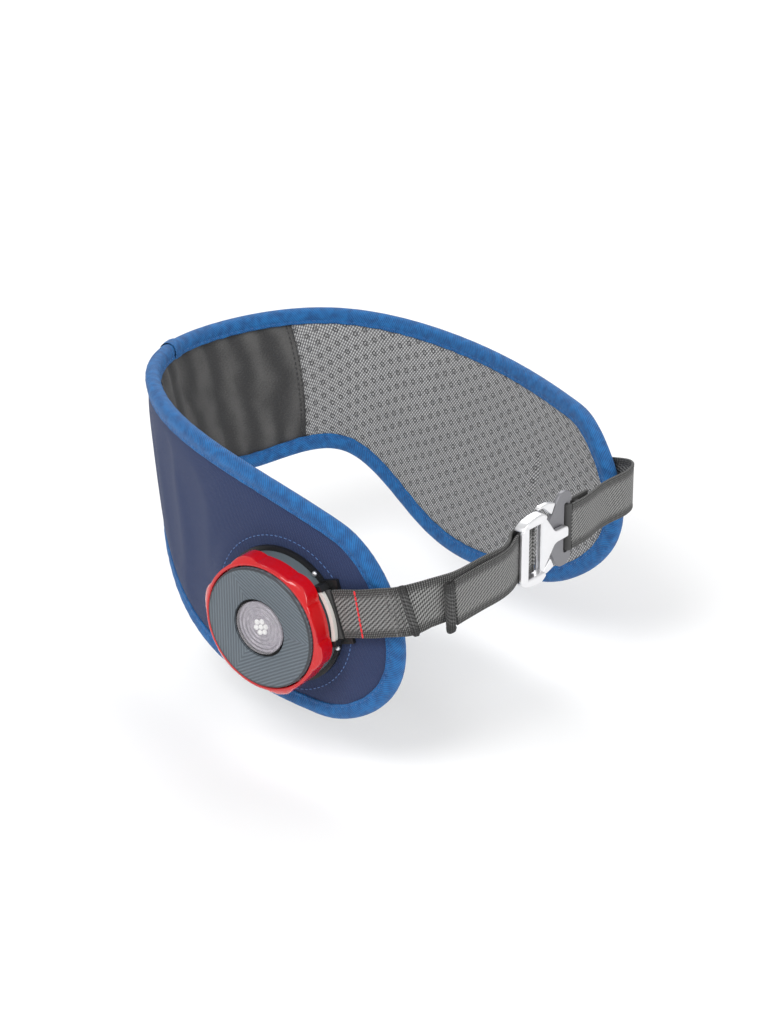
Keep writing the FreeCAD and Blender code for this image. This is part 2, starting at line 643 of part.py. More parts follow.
# ---------------------------------------------------------------- all pieces
PIECES = {
    "outer_panel": outer_panel,
    "foam_core": foam_core,
    "lining_right": lambda: lining(0, BACK_SEAMS[0]),
    "stretch_panel": lambda: lining(BACK_SEAMS[0] + 0.002, BACK_SEAMS[1] - 0.002),
    "lining_left": lambda: lining(BACK_SEAMS[1], LAST),
    "edge_binding": make_binding,
    "backing_plate": backing_plate,
    "base_screws": lambda: placed(base_screws(), DIAL),
    "dial_base": lambda: placed(dial_base(), DIAL),
    "housing": lambda: placed(housing(), DIAL),
    "chassis": lambda: placed(chassis(), DIAL),
    "spool": lambda: placed(spool(), DIAL),
    "webbing_coil": lambda: placed(webbing_coil(), DIAL),
    "ratchet_wheel": lambda: placed(ratchet_wheel(), DIAL),
    "pinion": lambda: placed(pinion(), DIAL),
    "pawl": lambda: placed(pawl(), DIAL),
    "pawl_pin": lambda: placed(pawl_pin(), DIAL),
    "crown_gear": lambda: placed(crown_gear(), DIAL),
    "grip_ring": lambda: placed(grip_ring(), DIAL),
    "face_plate": lambda: placed(face_plate(), DIAL),
    "battery": lambda: placed(disc(8.0, 15.35, 16.95), DIAL),
    "led_board": lambda: placed(disc(12.2, 17.1, 17.9), DIAL),
    "leds": lambda: placed(leds(), DIAL),
    "dome_switch": lambda: placed(dome_switch(), DIAL),
    "lens": lambda: placed(lens(), DIAL),
    "guide_bar": lambda: placed(guide_bar(), DIAL),
    "guide_lugs": lambda: placed(guide_lugs(), DIAL),
    "guide_rivets": lambda: placed(guide_rivets(), DIAL),
    "strap_inside": lambda: placed(box(7.0, HINGE_X - 0.8, -WEB_W / 2, WEB_W / 2, WEB_Z - WEB_T / 2,
                                       WEB_Z + WEB_T / 2), DIAL),
    "dial_strap": lambda: webbing(STRAP_RUN, STRAP_ACROSS, samples=40),
    "strap_loop": strap_loop,
    "tail_strap": tail_strap,
    "tail_hem": tail_hem,
    "stop_fold": stop_fold,
    "marker_stitch": marker_stitch,
    "hook_plate": hook_plate,
    "catch_plate": catch_plate,
    "belt_strap": belt_strap,
    "strap_return": strap_return,
    "bar_tacks": bar_tacks,
}

os.makedirs("parts", exist_ok=True)
for name, make in PIECES.items():
    shape = make()
    shape.exportStep(f"parts/{name}.step")
    print(f"{name:15s} volume {shape.Volume:10.1f}  valid {shape.isValid()}  solids {len(shape.Solids)}")
print("dial origin", DIAL_O, "strap leaves along", DIAL_X, "faces", DIAL_Z)
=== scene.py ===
import json
import math

import bpy
import numpy as np
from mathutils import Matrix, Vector


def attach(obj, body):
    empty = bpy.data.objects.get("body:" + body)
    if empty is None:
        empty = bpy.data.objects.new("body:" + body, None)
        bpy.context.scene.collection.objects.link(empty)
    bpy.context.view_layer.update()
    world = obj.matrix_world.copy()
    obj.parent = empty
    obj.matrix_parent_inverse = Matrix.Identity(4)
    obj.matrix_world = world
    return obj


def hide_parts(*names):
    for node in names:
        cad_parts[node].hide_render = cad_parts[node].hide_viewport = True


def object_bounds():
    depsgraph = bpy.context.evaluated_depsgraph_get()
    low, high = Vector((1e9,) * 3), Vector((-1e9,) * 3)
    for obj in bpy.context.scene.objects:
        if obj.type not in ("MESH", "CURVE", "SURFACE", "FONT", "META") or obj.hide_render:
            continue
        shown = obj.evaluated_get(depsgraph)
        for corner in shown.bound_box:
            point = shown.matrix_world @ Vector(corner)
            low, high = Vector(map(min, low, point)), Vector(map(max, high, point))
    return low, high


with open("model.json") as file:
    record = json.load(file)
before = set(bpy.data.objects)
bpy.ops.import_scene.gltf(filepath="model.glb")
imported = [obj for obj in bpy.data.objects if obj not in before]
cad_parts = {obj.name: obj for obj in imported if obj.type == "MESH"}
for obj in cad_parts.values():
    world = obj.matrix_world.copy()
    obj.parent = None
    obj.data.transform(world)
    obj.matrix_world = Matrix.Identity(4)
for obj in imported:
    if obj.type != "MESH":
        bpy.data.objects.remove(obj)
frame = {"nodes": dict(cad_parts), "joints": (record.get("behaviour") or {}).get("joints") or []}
CAD_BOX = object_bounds()

# Padded waist belt with a rotary strap dial. Sizes here are in millimetres; objects are made in metres.
MM = 0.001


def unit(v):
    v = np.asarray(v, float)
    return v / np.linalg.norm(v, axis=-1, keepdims=True)


# ------------------------------------------------ the band's middle surface, as in the CAD model
TOP_EDGE = [(-87, -122, 85), (-99, -52, 111), (-94, 26, 121), (-50, 97, 118), (17, 123, 112),
            (78, 93, 112), (103, 26, 108), (93, -47, 107), (68, -120, 107)]
BOTTOM_EDGE = [(-91, -120, 1), (-101, -43, 4), (-91, 28, 22), (-44, 90, 50), (18, 105, 37),
               (66, 76, 43), (73, 22, 14), (70, -38, 7), (71, -119, 24)]
LAST = len(TOP_EDGE) - 1
TIP = 0.56
BACK_SEAMS = (2.95, 4.62)


class Spline:
    """A smooth curve through points, at parameters 0, 1, 2 ... or at their distance along the way."""

    def __init__(self, points, by_length=False):
        p = np.array(points, float)
        n = len(p)
        gaps = np.linalg.norm(np.diff(p, axis=0), axis=1) if by_length else np.ones(n - 1)
        knots = np.concatenate([[0], np.cumsum(gaps)])
        a = np.zeros((n, n))
        b = np.zeros_like(p)
        for end, step in ((0, 1), (-1, -1)):
            a[end, end] = 1
            a[end, end + step] = -2 if not by_length else 0
            a[end, end + 2 * step] = 1 if not by_length else 0
        for i in range(1, n - 1):
            before, after = gaps[i - 1], gaps[i]
            a[i, i - 1:i + 2] = (before, 2 * (before + after), after)
            b[i] = 6 * ((p[i + 1] - p[i]) / after - (p[i] - p[i - 1]) / before)
        self.p, self.m, self.knots = p, np.linalg.solve(a, b), knots

    def __call__(self, t):
        t = np.asarray(t, float)
        i = np.clip(np.searchsorted(self.knots, t, side="right") - 1, 0, len(self.p) - 2)
        h = (self.knots[i + 1] - self.knots[i])[..., None]
        u = (t - self.knots[i])[..., None] / h
        w = 1 - u
        return (w * self.p[i] + u * self.p[i + 1]
                + h ** 2 * ((w ** 3 - w) * self.m[i] + (u ** 3 - u) * self.m[i + 1]) / 6)


TOP, BOTTOM = Spline(TOP_EDGE), Spline(BOTTOM_EDGE)


def band(s, v):
    s, v = np.broadcast_arrays(np.asarray(s, float), np.asarray(v, float))
    top, bottom = TOP(s), BOTTOM(s)
    return bottom + (top - bottom) * ((v + 1) / 2)[..., None]


def band_normal(s, v):
    s, v = np.broadcast_arrays(np.asarray(s, float), np.asarray(v, float))
    along = band(s + 0.01, v) - band(s - 0.01, v)
    return unit(np.cross(TOP(s) - BOTTOM(s), along))


# ---------------------------------------------------------------- frames of the dial and the buckle
JOINTS = {joint["name"]: joint for joint in frame["joints"]}
UP = np.array((0.0, 0.0, 1.0))
DIAL_O = np.array(JOINTS["ring_turn"]["pos_m"]) / MM
DIAL_Z = unit(JOINTS["ring_turn"]["axis"])
DIAL_Y = unit(JOINTS["spool_turn"]["axis"])
DIAL_X = np.cross(DIAL_Y, DIAL_Z)
CATCH_BAR_X = 32.2
HEADING = math.radians(4.0)
BUCKLE_X = np.array((math.cos(HEADING), math.sin(HEADING), 0))
BUCKLE_Z = np.array((math.sin(HEADING), -math.cos(HEADING), 0))
CATCH_Z = -1.2
HOOK_CENTRE = np.array(JOINTS["catch_tilt"]["pos_m"]) / MM - BUCKLE_X * CATCH_BAR_X - BUCKLE_Z * CATCH_Z
SLIDER_Z = 0.2


def dial_point(x, y, z):
    x, y, z = np.broadcast_arrays(*(np.asarray(c, float) for c in (x, y, z)))
    return DIAL_O + x[..., None] * DIAL_X + y[..., None] * DIAL_Y + z[..., None] * DIAL_Z


def buckle_point(x, y, z):
    x, y, z = np.broadcast_arrays(*(np.asarray(c, float) for c in (x, y, z)))
    return HOOK_CENTRE + x[..., None] * BUCKLE_X + y[..., None] * UP + z[..., None] * BUCKLE_Z


def smooth(low, high, x):
    t = np.clip((np.asarray(x, float) - low) / (high - low), 0, 1)
    return t * t * (3 - 2 * t)


# ---------------------------------------------------------------- mesh helpers
def make_object(name, points_mm, faces, material, uv_mm=None):
    """A smooth-shaded object from points in millimetres; uv_mm gives one texture place per point."""
    mesh = bpy.data.meshes.new(name)
    mesh.from_pydata((np.asarray(points_mm) * MM).tolist(), [], [tuple(int(i) for i in f) for f in faces])
    if uv_mm is not None:
        layer = mesh.uv_layers.new(name="cloth")
        corners = np.empty(len(mesh.loops), np.int32)
        mesh.loops.foreach_get("vertex_index", corners)
        layer.data.foreach_set("uv", np.asarray(uv_mm, np.float32)[corners].ravel())
    mesh.polygons.foreach_set("use_smooth", [True] * len(mesh.polygons))
    mesh.materials.append(material)
    piece = bpy.data.objects.new(name, mesh)
    bpy.context.scene.collection.objects.link(piece)
    return piece


def grid_faces(rows, columns, wrap_rows=False, wrap_columns=False, flip=False):
    i, j = np.meshgrid(np.arange(rows - (not wrap_rows)), np.arange(columns - (not wrap_columns)),
                       indexing="ij")
    i, j = i.ravel(), j.ravel()
    ni, nj = (i + 1) % rows, (j + 1) % columns
    faces = np.stack([i * columns + j, ni * columns + j, ni * columns + nj, i * columns + nj], axis=1)
    return faces[:, ::-1] if flip else faces


def grid_uv(grid):
    """Texture places in millimetres from the lengths along a grid's rows and columns."""
    u = np.concatenate([np.zeros((1, grid.shape[1])),
                        np.cumsum(np.linalg.norm(np.diff(grid, axis=0), axis=2), 0)])
    v = np.concatenate([np.zeros((grid.shape[0], 1)),
                        np.cumsum(np.linalg.norm(np.diff(grid, axis=1), axis=2), 1)], 1)
    u = np.repeat(u.mean(1, keepdims=True), grid.shape[1], 1)
    return np.stack([u, v - v.mean(1, keepdims=True)], -1)


def skin(name, grid, material, uv=None, **options):
    rows, columns = grid.shape[:2]
    uv = grid_uv(grid) if uv is None else uv
    return make_object(name, grid.reshape(-1, 3), grid_faces(rows, columns, **options), material,
                       uv.reshape(-1, 2))


def joined(name, parts, material):
    """One object from several (points, faces) lists."""
    points, faces, start = [], [], 0
    for p, f in parts:
        points.append(p)
        faces += [tuple(i + start for i in face) for face in f]
        start += len(p)
    return make_object(name, np.concatenate(points), faces, material)


def beads(path, across, length, gap, radius, flat=0.7):
    """Capsule stitches along a path; across is the surface normal at each point."""
    run = np.concatenate([[0], np.cumsum(np.linalg.norm(np.diff(path, axis=0), axis=1))])
    count = max(1, int(run[-1] / (length + gap)))
    parts = []
    profile = ((-0.5, 0.0), (-0.42, 0.75), (0.0, 1.0), (0.42, 0.75), (0.5, 0.0))
    for k in range(count):
        middle = (k + 0.5) * run[-1] / count
        ends = [np.array([np.interp(middle + e, run, path[:, c]) for c in range(3)]) for e in (-0.5, 0.5)]
        normal = unit(np.array([np.interp(middle, run, across[:, c]) for c in range(3)]))
        centre, along = sum(ends) / 2, unit(ends[1] - ends[0])
        side = np.cross(normal, along)
        ring = []
        for x, r in profile:
            for a in np.linspace(0, 2 * math.pi, 6, endpoint=False):
                ring.append(centre + along * x * length
                            + (side * math.cos(a) + normal * math.sin(a) * flat) * r * radius)
        parts.append((np.array(ring), grid_faces(len(profile), 6, wrap_columns=True).tolist()))
    return parts


def lathe(name, profile, material, frame_of=dial_point, segments=128, radius_of=None):
    """A profile of (radius, height) turned about the frame's z axis; radius_of bends each ring."""
    angles = np.linspace(0, 2 * math.pi, segments, endpoint=False)
    profile = np.array(profile, float)
    radius = np.repeat(profile[:, :1], segments, 1)
    if radius_of:
        radius = radius_of(radius, profile[:, 1:], angles[None, :])
    x, y = radius * np.cos(angles), radius * np.sin(angles)
    grid = frame_of(x, y, np.repeat(profile[:, 1:], segments, 1))
    faces = grid_faces(len(profile), segments, wrap_columns=True, flip=True)
    uv = np.stack([x, y], -1)
    return make_object(name, grid.reshape(-1, 3), faces, material, uv.reshape(-1, 2))


def rounded(corners, radii, count=5):
    """A closed outline with its corners rounded."""
    corners = np.array(corners, float)
    points = []
    for i, corner in enumerate(corners):
        before, after = corners[i - 1] - corner, corners[(i + 1) % len(corners)] - corner
        reach = min(radii[i] if hasattr(radii, "__len__") else radii,
                    0.45 * np.linalg.norm(before), 0.45 * np.linalg.norm(after))
        a, c = corner + unit(before) * reach, corner + unit(after) * reach
        for t in np.linspace(0, 1, count):
            points.append((1 - t) ** 2 * a + 2 * t * (1 - t) * corner + t * t * c)
    return points


def plate(name, loops, low, high, material, bevel=0.45, frame_of=buckle_point):
    """A flat plate with rounded edges; loops are its outline and its holes."""
    curve = bpy.data.curves.new(name, "CURVE")
    curve.dimensions = "2D"
    curve.fill_mode = "BOTH"
    curve.extrude = (high - low) / 2 - bevel
    curve.bevel_depth = bevel
    curve.bevel_resolution = 3
    curve.offset = -bevel
    for loop in loops:
        path = curve.splines.new("POLY")
        path.points.add(len(loop) - 1)
        for point, (x, y) in zip(path.points, loop):
            point.co = (x, y, 0, 1)
        path.use_cyclic_u = True
    holder = bpy.data.objects.new(name + "_outline", curve)
    mesh = bpy.data.meshes.new_from_object(holder)
    points = np.empty(len(mesh.vertices) * 3)
    mesh.vertices.foreach_get("co", points)
    points = points.reshape(-1, 3)
    faces = [tuple(p.vertices) for p in mesh.polygons]
    bpy.data.objects.remove(holder)
    bpy.data.curves.remove(curve)
    bpy.data.meshes.remove(mesh)
    places = frame_of(points[:, 0], points[:, 1], points[:, 2] + (low + high) / 2)
    piece = make_object(name, places, faces, material, points[:, :2])
    piece.modifiers.new("edges", "EDGE_SPLIT").split_angle = math.radians(38)
    return piece


def strap(name, centres, across, material, width=25.0, thick=1.3, step=1.2):
    """Flat webbing with rounded selvedges along a smooth line through its centres."""
    line = Spline(centres, by_length=True)
    end = line.knots[-1]
    t = np.linspace(0, end, max(3, int(end / step)))
    place = line(t)
    run = unit(line(np.minimum(t + 0.05, end)) - line(np.maximum(t - 0.05, 0)))
    turned = np.array(across, float)
    sides = np.array([[np.interp(at, line.knots, turned[:, c]) for c in range(3)] for at in t])
    sides = unit(sides - run * np.sum(sides * run, 1, keepdims=True))
    faces_out = np.cross(run, sides)
    half, edge = width / 2, thick / 2
    section = []
    for x in np.linspace(-half + 0.5, half - 0.5, 24):
        section.append((x, edge + 0.12 * smooth(half - 2.4, half - 1.4, abs(x))))
    section += [(half - 0.12, edge * 0.6), (half, 0), (half - 0.12, -edge * 0.6)]
    section += [(-x, -y) for x, y in section[:24]] + [(-half + 0.12, -edge * 0.6), (-half, 0),
                                                      (-half + 0.12, edge * 0.6)]
    section = np.array(section)
    grid = place[:, None] + sides[:, None] * section[None, :, :1] + faces_out[:, None] * section[None, :, 1:]
    uv = np.stack(np.broadcast_arrays(t[:, None], section[None, :, 0]), -1)
    rows, columns = grid.shape[:2]
    faces = grid_faces(rows, columns, wrap_columns=True).tolist()
    faces += [list(range(columns)), [(rows - 1) * columns + i for i in reversed(range(columns))]]
    return make_object(name, grid.reshape(-1, 3), faces, material, uv.reshape(-1, 2))


def put(piece, body, *nodes, slot=None):
    """The piece moves with a body and stands for CAD nodes."""
    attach(piece, body)
    if nodes:
        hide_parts(*nodes)
    return piece


# ---------------------------------------------------------------- camera, light and floor
def make_camera():
    data = bpy.data.cameras.new("camera")
    data.sensor_width = 36
    data.lens = 108.0
    data.clip_end = 20
    camera = bpy.data.objects.new("camera", data)
    camera.location = Vector((-1009, -1031, 742)) * MM
    camera.rotation_euler = (math.radians(90 - 25.64), 0, math.radians(-45))
    bpy.context.scene.collection.objects.link(camera)
    bpy.context.scene.camera = camera


def add_light(name, place, target, size, power, tint=(1, 1, 1)):
    data = bpy.data.lights.new(name, "AREA")
    data.shape = "DISK"
    data.size = size
    data.energy = power
    data.color = tint
    lamp = bpy.data.objects.new(name, data)
    lamp.location = Vector(place)
    lamp.rotation_euler = (Vector(target) - Vector(place)).to_track_quat("-Z", "Y").to_euler()
    bpy.context.scene.collection.objects.link(lamp)


def make_stage():
    """A pale floor under the belt, an even sky and three soft lamps."""
    world = bpy.data.worlds.new("studio")
    world.use_nodes = True
    world.node_tree.nodes["Background"].inputs["Color"].default_value = (1, 1, 1, 1)
    world.node_tree.nodes["Background"].inputs["Strength"].default_value = 0.72
    bpy.context.scene.world = world
    bpy.context.scene.view_settings.view_transform = "Standard"
    mesh = bpy.data.meshes.new("floor")
    reach, level = 6.0, CAD_BOX[0][2] - 0.03
    mesh.from_pydata([(-reach, -reach, level), (reach, -reach, level), (reach, reach, level),
                      (-reach, reach, level)], [], [(0, 1, 2, 3)])
    floor = bpy.data.objects.new("floor", mesh)
    paint = bpy.data.materials.new("floor_paint")
    paint.use_nodes = True
    paint.node_tree.nodes["Principled BSDF"].inputs["Base Color"].default_value = (0.92, 0.92, 0.92, 1)
    paint.node_tree.nodes["Principled BSDF"].inputs["Roughness"].default_value = 0.9
    mesh.materials.append(paint)
    bpy.context.scene.collection.objects.link(floor)
    add_light("key", (-1.3, -0.3, 1.5), (0, 0, 0.05), 0.9, 16)
    add_light("front", (0.2, -1.6, 0.9), (0, 0, 0.05), 1.0, 9)
    add_light("rim", (0.9, 1.0, 1.3), (0, 0, 0.05), 0.8, 9)


make_camera()
make_stage()

# ---------------------------------------------------------------- materials
class Shader:
    """A node material with short calls for maths, so that patterns read as formulas."""

    def __init__(self, name, colour, rough, metal=0.0, sheen=0.0, coat=0.0):
        self.material = bpy.data.materials.new(name)
        self.material.use_nodes = True
        self.tree = self.material.node_tree
        self.out = self.tree.nodes["Principled BSDF"]
        self.set("Base Color", (*colour, 1))
        self.set("Roughness", rough)
        self.set("Metallic", metal)
        self.set("Sheen Weight", sheen)
        self.set("Coat Weight", coat)

    def set(self, socket, value):
        if isinstance(value, bpy.types.NodeSocket):
            self.tree.links.new(value, self.out.inputs[socket])
        else:
            self.out.inputs[socket].default_value = value

    def math(self, operation, *values):
        node = self.tree.nodes.new("ShaderNodeMath")
        node.operation = operation
        for socket, value in zip(node.inputs, values):
            if isinstance(value, bpy.types.NodeSocket):
                self.tree.links.new(value, socket)
            else:
                socket.default_value = value
        return node.outputs[0]

    def total(self, *values):
        result = values[0]
        for value in values[1:]:
            result = self.math("ADD", result, value)
        return result

    def times(self, a, b):
        return self.math("MULTIPLY", a, b)

    def uv(self):
        split = self.tree.nodes.new("ShaderNodeSeparateXYZ")
        self.tree.links.new(self.tree.nodes.new("ShaderNodeTexCoord").outputs["UV"], split.inputs[0])
        return split.outputs["X"], split.outputs["Y"]

    def wave(self, x, y, degrees, pitch, phase=0.0):
        """Ridges 0..1 across lines at an angle, pitch in millimetres."""
        a = math.radians(degrees) + math.pi / 2
        along = self.math("ADD", self.times(x, math.cos(a) * 2 * math.pi / pitch),
                          self.times(y, math.sin(a) * 2 * math.pi / pitch))
        if not isinstance(phase, float) or phase:
            along = self.math("ADD", along, phase)
        return self.math("MULTIPLY_ADD", self.math("SINE", along), 0.5, 0.5)

    def noise(self, scale, detail=2.0, uv=True):
        node = self.tree.nodes.new("ShaderNodeTexNoise")
        node.inputs["Scale"].default_value = scale
        node.inputs["Detail"].default_value = detail
        source = self.tree.nodes.new("ShaderNodeTexCoord").outputs["UV" if uv else "Object"]
        self.tree.links.new(source, node.inputs["Vector"])
        return node.outputs["Fac"]

    def mix(self, factor, first, second):
        node = self.tree.nodes.new("ShaderNodeMix")
        node.data_type = "RGBA"
        for socket, value in ((0, factor), (6, first), (7, second)):
            if isinstance(value, bpy.types.NodeSocket):
                self.tree.links.new(value, node.inputs[socket])
            else:
                node.inputs[socket].default_value = value if socket == 0 else (*value, 1)
        return node.outputs[2]

    def band(self, value, low, high):
        node = self.tree.nodes.new("ShaderNodeMapRange")
        node.interpolation_type = "SMOOTHSTEP"
        self.tree.links.new(value, node.inputs[0])
        node.inputs[1].default_value = low
        node.inputs[2].default_value = high
        return node.outputs[0]

    def bump(self, height, depth_mm, strength=1.0):
        node = self.tree.nodes.new("ShaderNodeBump")
        node.inputs["Strength"].default_value = strength
        node.inputs["Distance"].default_value = depth_mm * MM
        self.tree.links.new(height, node.inputs["Height"])
        self.set("Normal", node.outputs[0])


def colour(r, g, b):
    """Linear light from a 0..255 screen colour."""
    return tuple(((c / 255 + 0.055) / 1.055) ** 2.4 if c > 10 else c / 255 / 12.92 for c in (r, g, b))


def neoprene():
    s = Shader("neoprene_knit", colour(30, 46, 90), 0.8, sheen=0.06)
    x, y = s.uv()
    grain = s.times(s.wave(x, y, 8, 0.75), s.wave(x, y, 96, 0.9))
    grain = s.total(s.times(grain, 0.6), s.times(s.noise(1.6, 3), 0.8))
    s.set("Base Color", s.mix(s.band(grain, 0.3, 0.95), colour(22, 38, 76), colour(45, 65, 110)))
    s.bump(grain, 0.3)
    return s.material


def spacer_mesh():
    """Diagonal knit with small sunk rings in staggered rows."""
    s = Shader("spacer_mesh", colour(150, 150, 150), 0.85, sheen=0.05)
    x, y = s.uv()
    drift = s.times(s.noise(0.08, 2), 5.0)
    strokes = s.times(s.wave(x, y, 62, 1.2, drift),
                      s.math("MULTIPLY_ADD", s.wave(x, y, -24, 1.7, drift), 0.75, 0.25))
    pitch_x, pitch_y, radius = 10.0, 3.7, 1.05
    row = s.math("FLOOR", s.times(y, 1 / pitch_y))
    shift = s.times(s.math("MODULO", s.math("ABSOLUTE", row), 2.0), 0.5)
    cx = s.times(s.math("SUBTRACT", s.math("FRACT", s.math("ADD", s.times(x, 1 / pitch_x), shift)), 0.5),
                 pitch_x)
    cy = s.times(s.math("SUBTRACT", s.math("FRACT", s.times(y, 1 / pitch_y)), 0.5), pitch_y)
    away = s.math("SQRT", s.math("ADD", s.times(cx, cx), s.times(cy, cy)))
    ring = s.math("SUBTRACT", 1.0, s.band(s.math("ABSOLUTE", s.math("SUBTRACT", away, radius)), 0.1, 0.42))
    base = s.mix(s.band(strokes, 0.1, 0.6), colour(92, 92, 93), colour(200, 200, 200))
    base = s.mix(s.times(s.noise(0.05, 1), 0.35), base, colour(120, 120, 121))
    s.set("Base Color", s.mix(s.times(ring, 0.8), base, colour(62, 62, 63)))
    s.bump(s.math("SUBTRACT", s.times(strokes, 0.5), s.times(ring, 0.7)), 0.45)
    return s.material


def stretch_cloth():
    s = Shader("stretch_cloth", colour(62, 62, 62), 0.9, sheen=0.05)
    x, y = s.uv()
    grain = s.total(s.times(s.wave(x, y, 90, 0.7), 0.35), s.times(s.noise(1.3, 3), 0.8))
    folds = s.times(s.wave(x, y, -90, 19.0, s.times(s.noise(0.03, 2), 8.0)), s.noise(0.05, 2))
    shade = s.total(s.times(grain, 0.7), s.times(folds, 0.7))
    s.set("Base Color", s.mix(s.band(shade, 0.25, 1.0), colour(46, 46, 47), colour(92, 91, 90)))
    s.bump(s.total(s.times(grain, 0.2), s.times(folds, 1.7)), 0.9)
    return s.material


def twill_tape():
    """Diagonal twill with soft puckers pulled by the stitch line."""
    s = Shader("twill_tape", colour(24, 98, 162), 0.7, sheen=0.06)
    x, y = s.uv()
    twill = s.wave(x, y, 50, 1.05, s.times(s.noise(0.25, 1), 2.0))
    pucker = s.noise(0.22, 3)
    shade = s.total(s.times(twill, 0.3), s.times(pucker, 0.95))
    s.set("Base Color", s.mix(s.band(shade, 0.3, 0.95), colour(4, 68, 124), colour(18, 110, 178)))
    s.bump(s.total(s.times(twill, 0.35), s.times(pucker, 1.2)), 0.6)
    return s.material


def webbing_weave(name="webbing_weave", dark=(38, 38, 38), light=(150, 150, 149)):
    """Fine ribs across the strap with diagonal ridges along the middle and plain selvedges."""
    s = Shader(name, colour(96, 96, 96), 0.8, sheen=0.05)
    x, y = s.uv()
    ribs = s.times(s.wave(x, y, 90, 1.0), s.math("MULTIPLY_ADD", s.wave(x, y, 0, 1.1), 0.5, 0.5))
    slant = s.wave(x, y, 32, 1.7)
    middle = s.math("SUBTRACT", 1.0, s.band(s.math("ABSOLUTE", y), 6.5, 10.5))
    height = s.total(s.times(ribs, 0.5), s.times(s.times(slant, middle), 0.5), s.times(s.noise(1.2, 2), 0.35))
    s.set("Base Color", s.mix(s.band(height, 0.25, 1.0), colour(*dark), colour(*light)))
    s.bump(height, 0.35)
    return s.material


def thread(name, rgb):
    s = Shader(name, colour(*rgb), 0.6, sheen=0.3)
    s.bump(s.noise(900.0, 2, uv=False), 0.08)
    return s.material


def plastic(name, rgb, rough=0.42, grain=0.12, coat=0.0):
    s = Shader(name, colour(*rgb), rough, coat=coat)
    cloud = s.noise(60.0, 3, uv=False)
    s.set("Base Color", s.mix(cloud, tuple(c * 0.86 for c in colour(*rgb)),
                              tuple(c * 1.1 for c in colour(*rgb))))
    s.set("Roughness", s.math("MULTIPLY_ADD", s.noise(240.0, 3, uv=False), 0.18, rough - 0.08))
    s.bump(s.noise(2200.0, 2, uv=False), grain)
    return s.material


def metal(name, rgb, rough, grain=0.05):
    s = Shader(name, colour(*rgb), rough, metal=0.92)
    cloud = s.noise(90.0, 4, uv=False)
    s.set("Roughness", s.math("MULTIPLY_ADD", cloud, 0.22, rough - 0.1))
    s.set("Base Color", s.mix(cloud, tuple(c * 0.85 for c in colour(*rgb)), colour(*rgb)))
    s.bump(s.noise(1500.0, 3, uv=False), grain)
    return s.material


def ridged_face():
    """Three sectors of fine parallel ridges, each across its sector's middle line."""
    s = Shader("ridged_face", colour(96, 104, 112), 0.5)
    x, y = s.uv()
    height = None
    for middle in (42.0, 162.0, 282.0):
        a = math.radians(middle)
        toward = s.math("ADD", s.times(x, math.cos(a)), s.times(y, math.sin(a)))
        across = s.math("ABSOLUTE", s.math("SUBTRACT", s.times(y, math.cos(a)), s.times(x, math.sin(a))))
        inside = s.math("GREATER_THAN", toward,
                        s.times(across, math.cos(math.pi / 3) / math.sin(math.pi / 3)))
        ridge = s.math("PINGPONG", toward, 0.8)
        term = s.times(inside, ridge)
        height = term if height is None else s.math("ADD", height, term)
    s.set("Base Color", s.mix(s.band(height, 0.1, 0.8), colour(82, 91, 99), colour(108, 118, 126)))
    s.bump(height, 0.45)
    return s.material


def clear_plastic():
    s = Shader("clear_plastic", colour(214, 210, 216), 0.12, coat=0.3)
    s.set("Alpha", 0.24)
    x, y = s.uv()
    radius = s.math("SQRT", s.math("ADD", s.times(x, x), s.times(y, y)))
    rings = s.math("PINGPONG", radius, 1.3)
    s.bump(s.total(rings, s.times(s.noise(0.5, 2), 0.5)), 0.5)
    return s.material


def reflector():
    s = Shader("reflector", colour(178, 172, 182), 0.3, metal=0.25)
    x, y = s.uv()
    radius = s.math("SQRT", s.math("ADD", s.times(x, x), s.times(y, y)))
    cloud = s.noise(0.35, 3)
    s.set("Base Color", s.mix(cloud, colour(120, 114, 126), colour(204, 199, 208)))
    s.bump(s.total(s.math("PINGPONG", radius, 1.1), s.times(cloud, 1.4)), 0.7)
    return s.material


NAVY, MESH, STRETCH, TAPE = neoprene(), spacer_mesh(), stretch_cloth(), twill_tape()
# The second webbing is the same weave painted darker, as painted shade on the folded and rolled webbing and
# the webbing inside the dial.
WEBBING, WEBBING_SHADED = webbing_weave(), webbing_weave("webbing_painted_shade", (30, 30, 30), (88, 88, 88))
BLUE_THREAD, PALE_THREAD = thread("blue_thread", (20, 92, 158)), thread("pale_thread", (70, 110, 170))
GREY_THREAD, DARK_THREAD, RED_THREAD = (thread("grey_thread", (92, 92, 92)),
                                        thread("dark_thread", (34, 34, 36)),
                                        thread("red_thread", (226, 20, 34)))
RED = plastic("red_gloss", (196, 2, 12), 0.2, 0.03, coat=0.4)
GREY_SHELL, BLACK = plastic("grey_shell", (96, 106, 112)), plastic("black_shell", (26, 27, 29))
FACE, CLEAR, REFLECTOR = ridged_face(), clear_plastic(), reflector()
SILVER, ANODISED, STEEL = (metal("satin_silver", (236, 236, 238), 0.34),
                           metal("anodised_grey", (138, 138, 142), 0.46),
                           metal("plain_steel", (180, 182, 186), 0.35))
BRASS = metal("brass", (196, 160, 88), 0.35)
BOARD = plastic("circuit_board", (22, 80, 44))
FOAM = plastic("foam", (70, 72, 78), 0.9)
BRIGHT = Shader("lamp", colour(250, 250, 248), 0.15, coat=0.4).material

